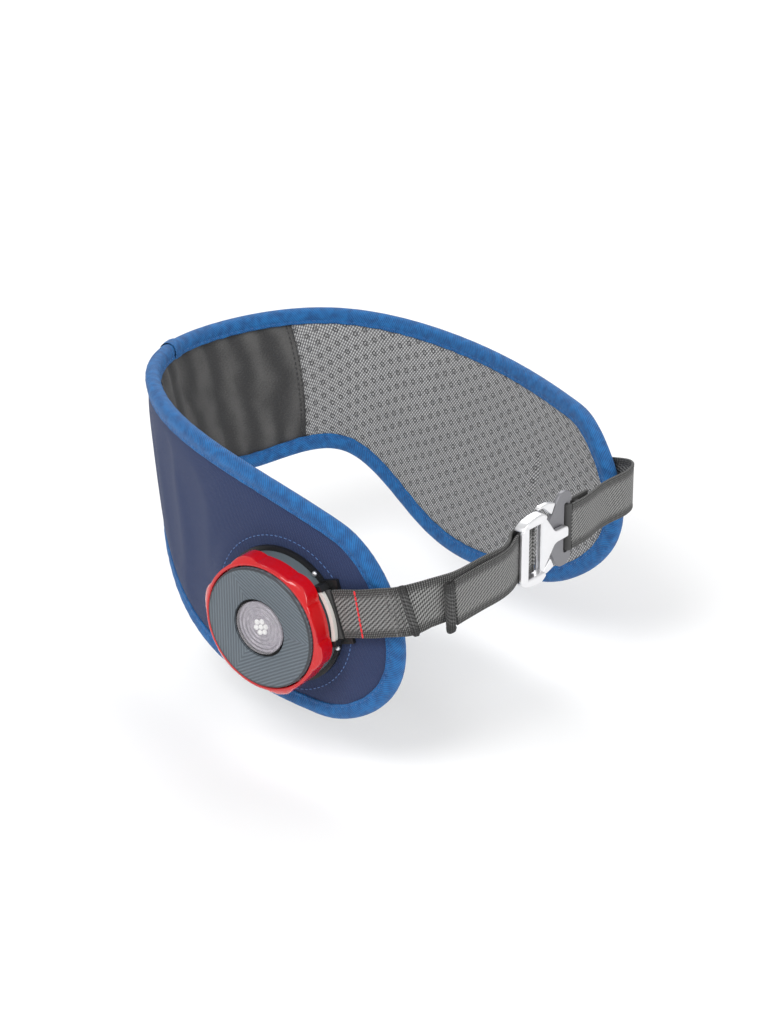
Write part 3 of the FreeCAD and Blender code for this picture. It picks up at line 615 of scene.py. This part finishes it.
NODE_MATERIALS = {
    "foam_core": FOAM, "backing_plate": BLACK, "base_screws": STEEL, "dial_base": BLACK,
    "housing": GREY_SHELL,
    "chassis": BLACK, "spool": STEEL, "webbing_coil": WEBBING_SHADED, "ratchet_wheel": STEEL, "pinion": BRASS,
    "pawl": STEEL, "pawl_pin": STEEL, "crown_gear": RED, "battery": STEEL, "led_board": BOARD,
    "dome_switch": STEEL,
    "guide_lugs": BLACK, "guide_rivets": SILVER, "strap_inside": WEBBING_SHADED, "bar_tacks": DARK_THREAD,
    "strap_loop": WEBBING_SHADED, "strap_return": WEBBING_SHADED,
    "guide_bar": plastic("pale_bar", (222, 220, 214), 0.35),
}
for node_name, node_material in NODE_MATERIALS.items():
    shell = frame["nodes"][node_name]
    for slot_index in range(len(shell.material_slots)):
        shell.material_slots[slot_index].material = node_material


# ---------------------------------------------------------------- the padded band
HALF_EDGE, CROWN = 2.45, 2.3
SEAT_R = 36.0
STATION_MM = 76.0    # about how far apart the band's stations lie along its middle


def edge_gap(s, level):
    """About how far, in millimetres, a place lies inside the band's outline."""
    height = np.linalg.norm(TOP(s) - BOTTOM(s), axis=-1) / 2
    side = (1 - np.abs(level)) * height
    along = STATION_MM * TIP * (1 - np.sqrt(np.clip(1 - np.abs(level) ** 2, 0, 1)))
    tip = STATION_MM * np.minimum(s, LAST - s) - along
    return np.minimum(side, np.maximum(tip, 0))


def wobble(x, count, low, high, seed):
    """A smooth random wave along x, between about -1 and 1."""
    draw = np.random.default_rng(seed)
    total = np.zeros_like(np.asarray(x, float))
    for _ in range(count):
        total = total + np.sin(2 * math.pi * x / draw.uniform(low, high) + draw.uniform(0, 6.3))
    return total / count


def seam_station(which, level):
    """The back seams bow a little toward the wings in the middle of their height."""
    bow = 0.05 if which else -0.05
    return BACK_SEAMS[which] + bow * (1 - np.asarray(level, float) ** 2)


def pad_offset(s, level, side):
    """Height of the cloth above the middle surface; side is +1 for the outer face, -1 for the lining."""
    gap = edge_gap(s, level)
    swell = CROWN * (1 - np.exp(-np.maximum(gap - 4, 0) / 9.0))
    ripple = 0.22 * wobble(s * STATION_MM + 6 * level, 5, 11, 34, 3 + side) * smooth(4, 12, gap)
    offset = HALF_EDGE * (0.45 + 0.55 * smooth(0, 6, gap)) + swell + ripple
    if side < 0:
        crease = (s - 7.22 - 0.03 * level) * STATION_MM / 2.2
        pinch = np.exp(-crease ** 2) * smooth(-0.35, 0.0, level) * (1 - smooth(0.2, 0.5, level))
        offset = offset - 2.4 * pinch
        for which in (0, 1):
            near = np.abs(s - seam_station(which, level)) * 76
            offset = offset - 1.5 * np.exp(-(near / 2.2) ** 2)
        in_back = smooth(0, 0.06, s - seam_station(0, level)) * smooth(0, 0.06, seam_station(1, level) - s)
        folds = wobble(s * STATION_MM + 3 * level * np.sin(s * 9), 6, 8, 21, 12)
        offset = offset + in_back * (-0.9 + 1.5 * folds * smooth(2, 9, gap))
    return offset * side


def pad_face(s, level, side):
    """Places on the padded band's outer face or lining, lying flat under the dial's base."""
    points = band(s, level) + band_normal(s, level) * pad_offset(s, level, side)[..., None]
    if side > 0:
        local = points - DIAL_O
        x, y, z = local @ DIAL_X, local @ DIAL_Y, local @ DIAL_Z
        hold = (1 - smooth(SEAT_R + 0.5, SEAT_R + 17, np.hypot(x, y))) * (np.abs(z) < 25)
        points = points + DIAL_Z * ((-0.15 - z) * hold)[..., None]
    return points


def pad_grid(counts, rows):
    """Stations and levels in three runs of columns that meet along the back seams."""
    level = np.sin(np.linspace(-1, 1, rows) * math.pi / 2 * 0.86) / math.sin(math.pi / 2 * 0.86)
    limits = [np.zeros(rows), seam_station(0, level), seam_station(1, level), np.full(rows, float(LAST))]
    runs = []
    for k, count in enumerate(counts):
        t = np.linspace(0, 1, count + 1)[k > 0:, None]
        runs.append(limits[k] + (limits[k + 1] - limits[k]) * t)
    s = np.concatenate(runs)
    reach = np.clip(np.minimum(s, LAST - s) / TIP, 0, 1)
    rise = np.sqrt(np.clip(1 - (1 - reach) ** 2, 0.0004, 1))
    return s, level[None, :] * rise


def inflate(piece, pinned, pressure=3.0, frames=14, cap=3.0):
    """Swell a closed pad with a short cloth run; pinned points keep their places."""
    mesh = piece.data
    rest = np.empty(len(mesh.vertices) * 3)
    mesh.vertices.foreach_get("co", rest)
    rest = rest.reshape(-1, 3)
    work = bpy.data.objects.new("inflating", mesh.copy())
    bpy.context.scene.collection.objects.link(work)
    group = work.vertex_groups.new(name="sewn")
    for index in np.nonzero(pinned)[0]:
        group.add([int(index)], 1.0, "REPLACE")
    cloth = work.modifiers.new("cloth", "CLOTH")
    settings = cloth.settings
    settings.quality = 6
    settings.mass = 0.25
    settings.tension_stiffness = 40
    settings.compression_stiffness = 40
    settings.shear_stiffness = 20
    settings.bending_stiffness = 4
    settings.use_pressure = True
    settings.uniform_pressure_force = pressure
    settings.vertex_group_mass = "sewn"
    settings.effector_weights.gravity = 0
    cloth.point_cache.frame_end = frames
    scene = bpy.context.scene
    for number in range(1, frames + 1):
        scene.frame_set(number)
    settled = work.evaluated_get(bpy.context.evaluated_depsgraph_get()).to_mesh()
    moved = np.empty(len(settled.vertices) * 3)
    settled.vertices.foreach_get("co", moved)
    shift = moved.reshape(-1, 3) - rest
    reach = np.linalg.norm(shift, axis=1, keepdims=True)
    limit = cap * MM
    shift = shift * np.minimum(1.0, limit * np.tanh(reach / limit) / np.maximum(reach, 1e-9))
    work.to_mesh_clear()
    bpy.data.objects.remove(work)
    scene.frame_set(1)
    mesh.vertices.foreach_set("co", (rest + shift).ravel())
    mesh.update()


def make_pads():
    """The navy face, the two mesh linings and the gathered stretch panel between them."""
    counts, rows = (((72, 40, 82), 34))
    s, level = pad_grid(counts, rows)
    columns = len(s)
    outer = pad_face(s, level, 1)
    lining = pad_face(s, level, -1)
    count = columns * rows
    faces = np.concatenate([grid_faces(columns, rows), grid_faces(columns, rows, flip=True) + count])
    rim = ([(i * rows, (i + 1) * rows, (i + 1) * rows + count, i * rows + count) for i in range(columns - 1)]
           + [((i + 1) * rows + rows - 1, i * rows + rows - 1, i * rows + rows - 1 + count,
               (i + 1) * rows + rows - 1 + count) for i in range(columns - 1)]
           + [(j + 1, j, j + count, j + 1 + count) for j in range(rows - 1)]
           + [((columns - 1) * rows + j, (columns - 1) * rows + j + 1, (columns - 1) * rows + j + 1 + count,
               (columns - 1) * rows + j + count) for j in range(rows - 1)])
    shell = make_object("pad_shell", np.concatenate([outer.reshape(-1, 3), lining.reshape(-1, 3)]),
                        faces.tolist() + rim, NAVY)
    gap = edge_gap(s, level).ravel()
    local = outer.reshape(-1, 3) - DIAL_O
    under_dial = np.hypot(local @ DIAL_X, local @ DIAL_Y) < SEAT_R + 5
    away = [np.abs(s - seam_station(which, level)) * STATION_MM for which in (0, 1)]
    seams = np.minimum(*away).ravel() < 2.0
    inflate(shell, np.concatenate([(gap < 6) | under_dial, (gap < 6) | seams]))
    points = np.empty(len(shell.data.vertices) * 3)
    shell.data.vertices.foreach_get("co", points)
    points = points.reshape(-1, 3) / MM
    bpy.data.objects.remove(shell)
    outer, lining = points[:count].reshape(columns, rows, 3), points[count:].reshape(columns, rows, 3)
    piece = put(skin("outer_face", outer, NAVY), "belt", "outer_panel", slot="neoprene_navy")
    lining_uv = grid_uv(lining)
    parts = (("lining_right_pad", "lining_right", MESH, "mesh_grey"),
             ("stretch_back", "stretch_panel", STRETCH, "stretch_charcoal"),
             ("lining_left_pad", "lining_left", MESH, "mesh_grey"))
    start = 0
    for (name, node, material, slot), count in zip(parts, counts):
        run = slice(start, start + count + 1)
        piece = put(skin(name, lining[run], material, lining_uv[run], flip=True), "belt", node, slot=slot)
        start += count
    return s, level, outer, lining


PAD_S, PAD_LEVEL, PAD_OUTER, PAD_LINING = make_pads()


# ---------------------------------------------------------------- binding
JOIN_STATION = 3.42


def outline(side_step=0.026, tip_count=34):
    s = np.arange(TIP, LAST - TIP, side_step)
    a = np.linspace(0, math.pi, tip_count)
    start = int(np.searchsorted(s, JOIN_STATION))
    stations = np.concatenate([s, LAST - TIP * (1 - np.sin(a)), s[::-1], TIP * (1 - np.sin(a))])
    levels = np.concatenate([np.ones(len(s)), np.cos(a), -np.ones(len(s)), -np.cos(a)])
    return np.roll(stations, -start), np.roll(levels, -start)


def edge_frames():
    s, v = outline()
    places = band(s, v)
    keep = np.linalg.norm(places - np.roll(places, 1, 0), axis=1) > 0.2
    s, v, places = s[keep], v[keep], places[keep]
    along = unit(np.roll(places, -1, 0) - np.roll(places, 1, 0))
    normal = band_normal(s, v)
    out = unit(np.cross(along, normal))
    return places, along, out, normal


def make_binding():
    """Tape folded over the edge, pulled in along its stitch line and slightly puckered."""
    half = [(-5.1, 1.7), (-5.3, 2.9), (-5.0, 3.55), (-4.3, 3.55), (-3.75, 3.2), (-3.2, 3.4), (-2.0, 3.85),
            (-0.4, 3.95), (1.0, 3.7), (2.2, 3.0), (3.05, 1.8), (3.4, 0.6)]
    section = np.array(half + [(m, -n) for m, n in reversed(half)])
    places, along, out, normal = edge_frames()
    run = np.concatenate([[0], np.cumsum(np.linalg.norm(np.diff(places, axis=0), axis=1))])
    pull = wobble(run, 6, 5, 15, 21)[:, None] * np.interp(section[:, 0], (-5.3, -3, 3.4), (0.3, 0.22, 0.05))
    near_stitch = np.abs(section[:, 0] + 1) < 3
    puff = wobble(run[:, None] + section[None, :, 0] * 1.4, 6, 4.5, 13, 22) * 0.2 * near_stitch
    m = section[None, :, 0] + pull
    n = section[None, :, 1] + puff * np.sign(section[None, :, 1])
    grid = places[:, None] + out[:, None] * m[..., None] + normal[:, None] * n[..., None]
    width = np.concatenate([[0], np.cumsum(np.linalg.norm(np.diff(section, axis=0), axis=1))])
    uv = np.stack(np.broadcast_arrays(run[:, None], width[None, :]), -1)
    faces = grid_faces(len(places), len(section), wrap_rows=True, flip=True)
    piece = make_object("binding_tape", grid.reshape(-1, 3), faces, TAPE, uv.reshape(-1, 2))
    put(piece, "belt", "edge_binding", slot="tape_blue")
    parts = []
    for side in (1, -1):
        path = places + out * -3.7 + normal * side * 3.28
        parts += beads(np.concatenate([path, path[:1]]), np.concatenate([normal, normal[:1]]) * side, 2.3,
                       0.9, 0.3)
    put(joined("binding_stitches", parts, BLUE_THREAD), "belt", slot="tape_blue")


def make_tape_join():
    """Where the tape's two ends meet on the top edge: a folded, stitched overlap."""
    profile = [(-5.3, 3.9), (-2.0, 4.7), (0.6, 4.6), (2.6, 3.8), (4.0, 1.9), (4.4, 0)]
    section = np.array(profile + [(m, -n) for m, n in reversed(profile[:-1])])
    s = JOIN_STATION + np.linspace(-0.06, 0.06, 13)
    fade = np.minimum(1, 1.6 * np.sin(np.linspace(0.25, math.pi - 0.25, 13)))
    places, normal = band(s, 1.0), band_normal(s, 1.0)
    along = unit(np.gradient(places, axis=0))
    out = unit(np.cross(along, normal))
    scale = 0.93 + 0.07 * fade
    grid = (places[:, None] + out[:, None] * (section[None, :, :1] * scale[:, None, None])
            + normal[:, None] * (section[None, :, 1:] * scale[:, None, None]))
    put(skin("binding_join", grid, TAPE, flip=True), "belt", slot="tape_blue")


def surface_at(s, level, side):
    """The finished pad's surface at a station and level, read from its own grid."""
    source = PAD_OUTER if side > 0 else PAD_LINING
    flat_s, flat_v = PAD_S.ravel(), PAD_LEVEL.ravel()
    points = []
    for a, b in zip(np.atleast_1d(s), np.atleast_1d(level)):
        distance = ((flat_s - a) * STATION_MM) ** 2 + ((flat_v - b) * 45) ** 2
        near = np.argsort(distance)[:4]
        weight = 1 / (distance[near] + 0.01)
        points.append((source.reshape(-1, 3)[near] * weight[:, None]).sum(0) / weight.sum())
    return np.array(points)


def make_back_seams():
    """Double rows of stitches that hold the stretch panel to the linings."""
    parts = []
    for which in (0, 1):
        level = np.linspace(-0.93, 0.93, 60)
        inward = 0.012 if which == 0 else -0.012
        for row in (1, 3.6):
            s = seam_station(which, level) + inward * row
            path = surface_at(s, level, -1)
            normal = -band_normal(s, level)
            parts += beads(path + normal * 0.25, normal, 2.0, 0.8, 0.34)
    put(joined("seam_stitches", parts, DARK_THREAD), "belt", slot="thread_grey")


def make_ring_stitches():
    """The stitched ring round the dial, on the navy face."""
    angle = np.linspace(0, 2 * math.pi, 260)
    radius = 40.5
    flat = PAD_OUTER.reshape(-1, 3)
    local = flat - DIAL_O
    fx, fy, fz = local @ DIAL_X, local @ DIAL_Y, local @ DIAL_Z
    near = (np.abs(fz) < 14) & (np.hypot(fx, fy) < 60)
    fx, fy, fz = fx[near], fy[near], fz[near]
    height = []
    for a in angle:
        distance = (fx - radius * math.cos(a)) ** 2 + (fy - radius * math.sin(a)) ** 2
        pick = np.argsort(distance)[:6]
        weight = 1 / (distance[pick] + 0.05)
        height.append((fz[pick] * weight).sum() / weight.sum())
    path = dial_point(radius * np.cos(angle), radius * np.sin(angle), np.array(height) + 0.15)
    parts = beads(path, np.repeat(DIAL_Z[None], len(path), 0), 1.9, 0.9, 0.26)
    put(joined("dial_ring_stitches", parts, PALE_THREAD), "belt", slot="neoprene_navy")


make_binding()
make_tape_join()
make_back_seams()
make_ring_stitches()


# ---------------------------------------------------------------- dial
RING_R, LOBE_R, LOBES = 33.9, 36.2, 6


def lobed(radius, height, angle):
    """Six low rounded lobes, cut back by the bevel toward the front."""
    turn = (angle * LOBES / (2 * math.pi) - 0.5 + 0.5) % 1 - 0.5
    local = turn * 2 * math.pi / LOBES
    far = LOBE_R - 12.0
    lobe = far * np.cos(local) + np.sqrt(np.maximum(144 - (far * np.sin(local)) ** 2, 0))
    edge = np.maximum(RING_R, lobe) + 0.12 * np.exp(-((np.abs(turn) - 0.27) / 0.03) ** 2)
    rim = radius >= RING_R - 0.01
    grown = edge - (RING_R - radius)
    bevel = 37.5 + (19.4 - 3.2 - height) * 1.35
    return np.where(rim, np.minimum(grown, np.minimum(bevel + 0 * grown, edge)), radius)


def make_grip_ring():
    profile = [(31.9, 9.0), (31.9, 18.9), (32.15, 19.3), (32.6, 19.4)]
    profile += [(33.0, 19.35), (33.9, 19.0), (33.9, 18.2), (33.9, 17.4), (33.9, 16.6), (33.9, 15.6),
                (33.9, 13.6), (33.9, 11.6), (33.9, 9.6), (33.9, 9.0)]
    profile += [(33.3, 8.62), (32.6, 8.6), (31.9, 9.0)]
    ring = lathe("lobed_ring", profile, RED, segments=360, radius_of=lobed)
    ring.modifiers.new("edges", "EDGE_SPLIT").split_angle = math.radians(50)
    put(ring, "dial_ring", "grip_ring", slot="red_plastic")


def make_face():
    profile = [(15.0, 17.0), (15.0, 20.2), (15.35, 20.6), (30.3, 20.6), (30.7, 20.5), (31.05, 20.2),
               (31.3, 19.6), (31.3, 16.8)]
    put(lathe("ridged_face_disc", profile, FACE), "belt", "face_plate", slot="grey_plastic")
    # A dark ring laid over the face's outer chamfer is painted shade for the gap between the face and the red
    # ring.
    rim = [(30.35, 20.62), (30.7, 20.72), (31.0, 20.45), (31.2, 19.9)]
    put(lathe("face_rim_gap_shade", rim, plastic("gap_shade_line", (52, 57, 62), 0.4)), "belt", slot="grey_plastic")


def make_light():
    dish = [(0.01, 18.62), (4.8, 18.66), (6.0, 18.9), (9.5, 18.7), (11.0, 18.95), (12.6, 18.75), (13.6, 18.6)]
    put(lathe("lamp_dish", dish, REFLECTOR), "belt", slot="led_lens")
    well = [(15.05, 20.55), (14.9, 18.0), (13.2, 17.95)]
    put(lathe("lens_well", well, BLACK), "belt", slot="black_plastic")
    lens = [(13.7, 19.3), (13.7, 20.3), (13.4, 20.7), (12.9, 20.85), (12.6, 20.7), (11.9, 20.7), (11.6, 20.9),
            (8.0, 21.15), (4.0, 21.33), (0.01, 21.4)]
    put(lathe("clear_lens", lens, CLEAR), "light_button", "lens", slot="clear_lens")
    dot = [(1.45, 0.0), (1.35, 0.5), (0.9, 0.95), (0.01, 1.15)]
    spots = [(0, 0)] + [(3.1 * math.cos(a), 3.1 * math.sin(a)) for a in np.arange(6) * math.pi / 3]
    parts = []
    for cx, cy in spots:
        angles = np.linspace(0, 2 * math.pi, 16, endpoint=False)
        rings = [dial_point(cx + r * np.cos(angles), cy + r * np.sin(angles), 18.65 + z + 0 * angles)
                 for r, z in dot]
        parts.append((np.concatenate(rings), grid_faces(len(dot), 16, wrap_columns=True, flip=True).tolist()))
    put(joined("lamp_cluster", parts, BRIGHT), "belt", "leds", slot="led_lens")


make_grip_ring()
make_face()
make_light()

# ---------------------------------------------------------------- webbing
HINGE_X, WEB_T = 38.0, 1.3
STRAP_RUN = [dial_point(HINGE_X + 0.5, 0, 4.4), dial_point(44, 0, 4.4), dial_point(54, -0.5, 4.2),
             dial_point(67, -0.3, 3.9), dial_point(80, 0.2, 3.2), (-86.5, -137, 77.4), (-73.5, -141.2, 78.8),
             (-52, -141.6, 80.0), (-32, -139, 80.7), buckle_point(-10, 0, SLIDER_Z - 2.25),
             buckle_point(-5, 0, SLIDER_Z - 2.25), buckle_point(-0.4, 0, SLIDER_Z - 2.25)]
STRAP_ACROSS = [DIAL_Y] * 5 + [(-0.05, 0.1, 1)] + [UP] * 6
STRAP_LINE = Spline(STRAP_RUN, by_length=True)


def strap_frame(index, slide=0.0):
    """Place and axes (along, across, outward) on the strap at one of its points."""
    t = STRAP_LINE.knots[index]
    run = unit(STRAP_LINE(t + 0.05) - STRAP_LINE(t - 0.05))
    side = np.array(STRAP_ACROSS[index], float)
    side = unit(side - run * side.dot(run))
    return STRAP_LINE(t) + run * slide, run, side, np.cross(run, side)


def block(name, index, slide, along, across, outward, material, sink=0.0):
    """A rounded sewn roll of webbing across the strap: half sizes along, limits across and outward."""
    place, run, side, face = strap_frame(index, slide)
    place = place + UP * sink
    turns = np.linspace(0, 2 * math.pi, 20, endpoint=False)
    low, high = outward
    stations = np.linspace(across[0], across[1], 44)
    ends = 1 - 0.35 * (smooth(across[1] - 1.2, across[1], stations)
                       + smooth(across[0] + 1.2, across[0], stations))
    wave = 1 + 0.05 * np.sin(stations * 2.6)
    size_x = along * np.sign(np.cos(turns)) * np.abs(np.cos(turns)) ** 0.7
    size_z = np.abs(np.sin(turns)) ** 0.7
    size_z = (low + high) / 2 + (high - low) / 2 * size_z * np.sign(np.sin(turns))
    grid = (place + side * stations[:, None, None] + run
            * (size_x[None, :] * ends[:, None] * wave[:, None])[..., None]
            + face * (low + (size_z - low)[None, :] * (ends * wave)[:, None])[..., None])
    uv = np.stack(np.broadcast_arrays(turns[None, :] * along, stations[:, None]), -1)
    faces = grid_faces(len(stations), 20, wrap_columns=True).tolist()
    faces += [list(range(20))[::-1], [(len(stations) - 1) * 20 + i for i in range(20)]]
    return make_object(name, grid.reshape(-1, 3), faces, material, uv.reshape(-1, 2))


def cross_stitches(index, slides, lift, drop=0.0):
    parts = []
    for slide in slides:
        place, run, side, face = strap_frame(index, slide)
        y = np.linspace(-11.5, 11.5, 12)
        path = place + side * y[:, None] + face * lift + UP * drop
        parts += beads(path, np.repeat(face[None], 12, 0), 1.7, 0.6, 0.28)
    return parts


def make_straps():
    put(strap("dial_webbing", STRAP_RUN, STRAP_ACROSS, WEBBING), "hook_strap", "dial_strap",
        slot="webbing_grey")
    tail = []
    for index, lift, drop in ((6, 2.3, 3.0), (7, 2.0, 2.2), (8, 2.2, 1.0)):
        place, _, _, face = strap_frame(index)
        tail.append(place + face * lift - UP * drop)
    tail += [buckle_point(x, 0, SLIDER_Z + 2.25) for x in (-10, -5, -0.9)]
    turn = [buckle_point(2.25 * math.cos(a), 0, SLIDER_Z + 2.25 * math.sin(a))
            for a in np.linspace(-math.pi / 2, math.pi / 2, 7)]
    put(strap("loop_webbing", turn, [UP] * 7, WEBBING, step=0.5), "hook_strap", "strap_loop",
        slot="webbing_grey")
    put(strap("tail_webbing", tail, [UP] * len(tail), WEBBING), "hook_strap", "tail_strap",
        slot="webbing_grey")
    # The hem and stop rolls use the darker webbing, which is painted shade on the folded webbing.
    put(block("hem_roll", 6, -3.4, 2.4, (-14.2, 12.8), (1.0, 4.8), WEBBING_SHADED, sink=-3.6), "hook_strap",
        "tail_hem",
        slot="webbing_grey")
    put(block("stop_roll", 4, 1.0, 1.9, (-12.8, 12.8), (0.6, 3.1), WEBBING_SHADED), "hook_strap", "stop_fold",
        slot="webbing_grey")
    parts = []
    place, run, side, face = strap_frame(2, -3.0)
    y = np.linspace(-12.2, 12.2, 30)
    path = place + side * y[:, None] + face * 0.78 + run * (0.9 * y / 12)[:, None]
    parts += beads(path, np.repeat(face[None], 30, 0), 2.6, 0.05, 0.62, flat=0.6)
    put(joined("red_marker", parts, RED_THREAD), "hook_strap", "marker_stitch", slot="thread_red")
    parts = cross_stitches(4, (-8.2, -6.2), 0.8) + cross_stitches(4, (-3.4,), 0.8)
    put(joined("strap_stitches", parts, GREY_THREAD), "hook_strap", slot="thread_grey")


def wing_outside(s, level):
    lift = HALF_EDGE + 0.2 + 1.1 + 0.4 + WEB_T / 2
    return band(s, level) + band_normal(s, level) * lift


def make_belt_strap():
    front = CATCH_Z + 1.25 + 0.15 + WEB_T / 2
    run = [buckle_point(CATCH_BAR_X + x, 0, front) for x in (0.4, 5, 10)]
    run += [(45, -129.4, 81.3), (58, -128.2, 81.2), (68.5, -127.4, 81.2), (76.0, -123.6, 81.2)]
    across = [UP] * len(run)
    for s, level in ((7.78, 0.33), (7.6, 0.345), (7.35, 0.37)):
        run.append(wing_outside(s, level))
        across.append(unit(band(s, 1) - band(s, -1)))
    put(strap("belt_webbing", run, across, WEBBING), "belt", "belt_strap", slot="webbing_grey")


make_straps()
make_belt_strap()


# ---------------------------------------------------------------- buckle plates
def mirrored(points):
    return points + [(x, -y) for x, y in reversed(points)]


def make_hook():
    low, high = 0.1, 2.3
    body = rounded(mirrored([(6.0, 17.6), (8.6, 15.4), (17.2, 3.9), (19.2, 3.1), (28.2, 3.0)]),
                   [1, 1.5, 3, 3, 2.6] * 2)
    pieces = [plate("hook_body", [body], low, high + 0.7, SILVER, 0.6)]
    bar = rounded([(-12.0, 14.5), (-6.3, 15.8), (-6.3, -15.8), (-12.0, -14.5)], 2.4)
    pieces.append(plate("hook_bar", [bar], 3.75, 5.9, SILVER, 0.8))
    for sign in (1, -1):
        rail = [(-12.0, sign * 13.6), (-10.8, sign * 15.6), (-7.5, sign * 17.4), (-1.0, sign * 18.6),
                (4.5, sign * 18.6), (8.2, sign * 15.9), (6.4, sign * 13.5)]
        pieces.append(plate("hook_rail_" + ("top" if sign > 0 else "bottom"), [rounded(rail, 1.6)], low, 5.7,
                            SILVER, 0.8))
        ear = [(6.0, sign * 17.9), (8.2, sign * 19.2), (14.5, sign * 19.0), (20.0, sign * 17.2),
               (17.2, sign * 11.8), (10.6, sign * 17.6)]
        pieces.append(plate("hook_ear_" + ("top" if sign > 0 else "bottom"), [rounded(ear, 1.0)], -1.9, 0.7,
                            SILVER, 0.4))
    slider = [(1.5 * math.cos(a), 1.5 * math.sin(a)) for a in np.linspace(0, 2 * math.pi, 24, endpoint=False)]
    pieces.append(plate("hook_slider", [slider], -13.6, 13.6, ANODISED, 0.2,
                        lambda x, y, z: buckle_point(x, z, y + SLIDER_Z)))
    for index, piece in enumerate(pieces):
        put(piece, "hook_strap", *(("hook_plate",) if index == 0 else ()), slot="silver")


def make_catch():
    low, high = -2.3, -0.1
    half = [(8.2, 9.4), (7.9, 16.0), (9.6, 16.6), (16.9, 7.6), (21.8, 16.4), (25.0, 20.1), (30.5, 20.3),
            (34.0, 17.5)]
    outline_points = [(12.5, 3.0)] + half + [(34.0, 13.4), (28.3, 13.4)]
    outer = rounded(mirrored(outline_points), [1.5, 1.5, 0.8, 1.5, 3.0, 3.5, 2.5, 2.5, 1.2, 0.8, 0.8] * 2)
    put(plate("catch_body", [outer], low, high, ANODISED, 0.35), "catch", "catch_plate", slot="anodised_grey")
    bar = [(1.2 * math.cos(a), 1.2 * math.sin(a)) for a in np.linspace(0, 2 * math.pi, 24, endpoint=False)]
    put(plate("catch_bar", [bar], -14.2, 14.2, ANODISED, 0.15,
              lambda x, y, z: buckle_point(x + CATCH_BAR_X, z, y + CATCH_Z)), "catch", slot="anodised_grey")


make_hook()
make_catch()
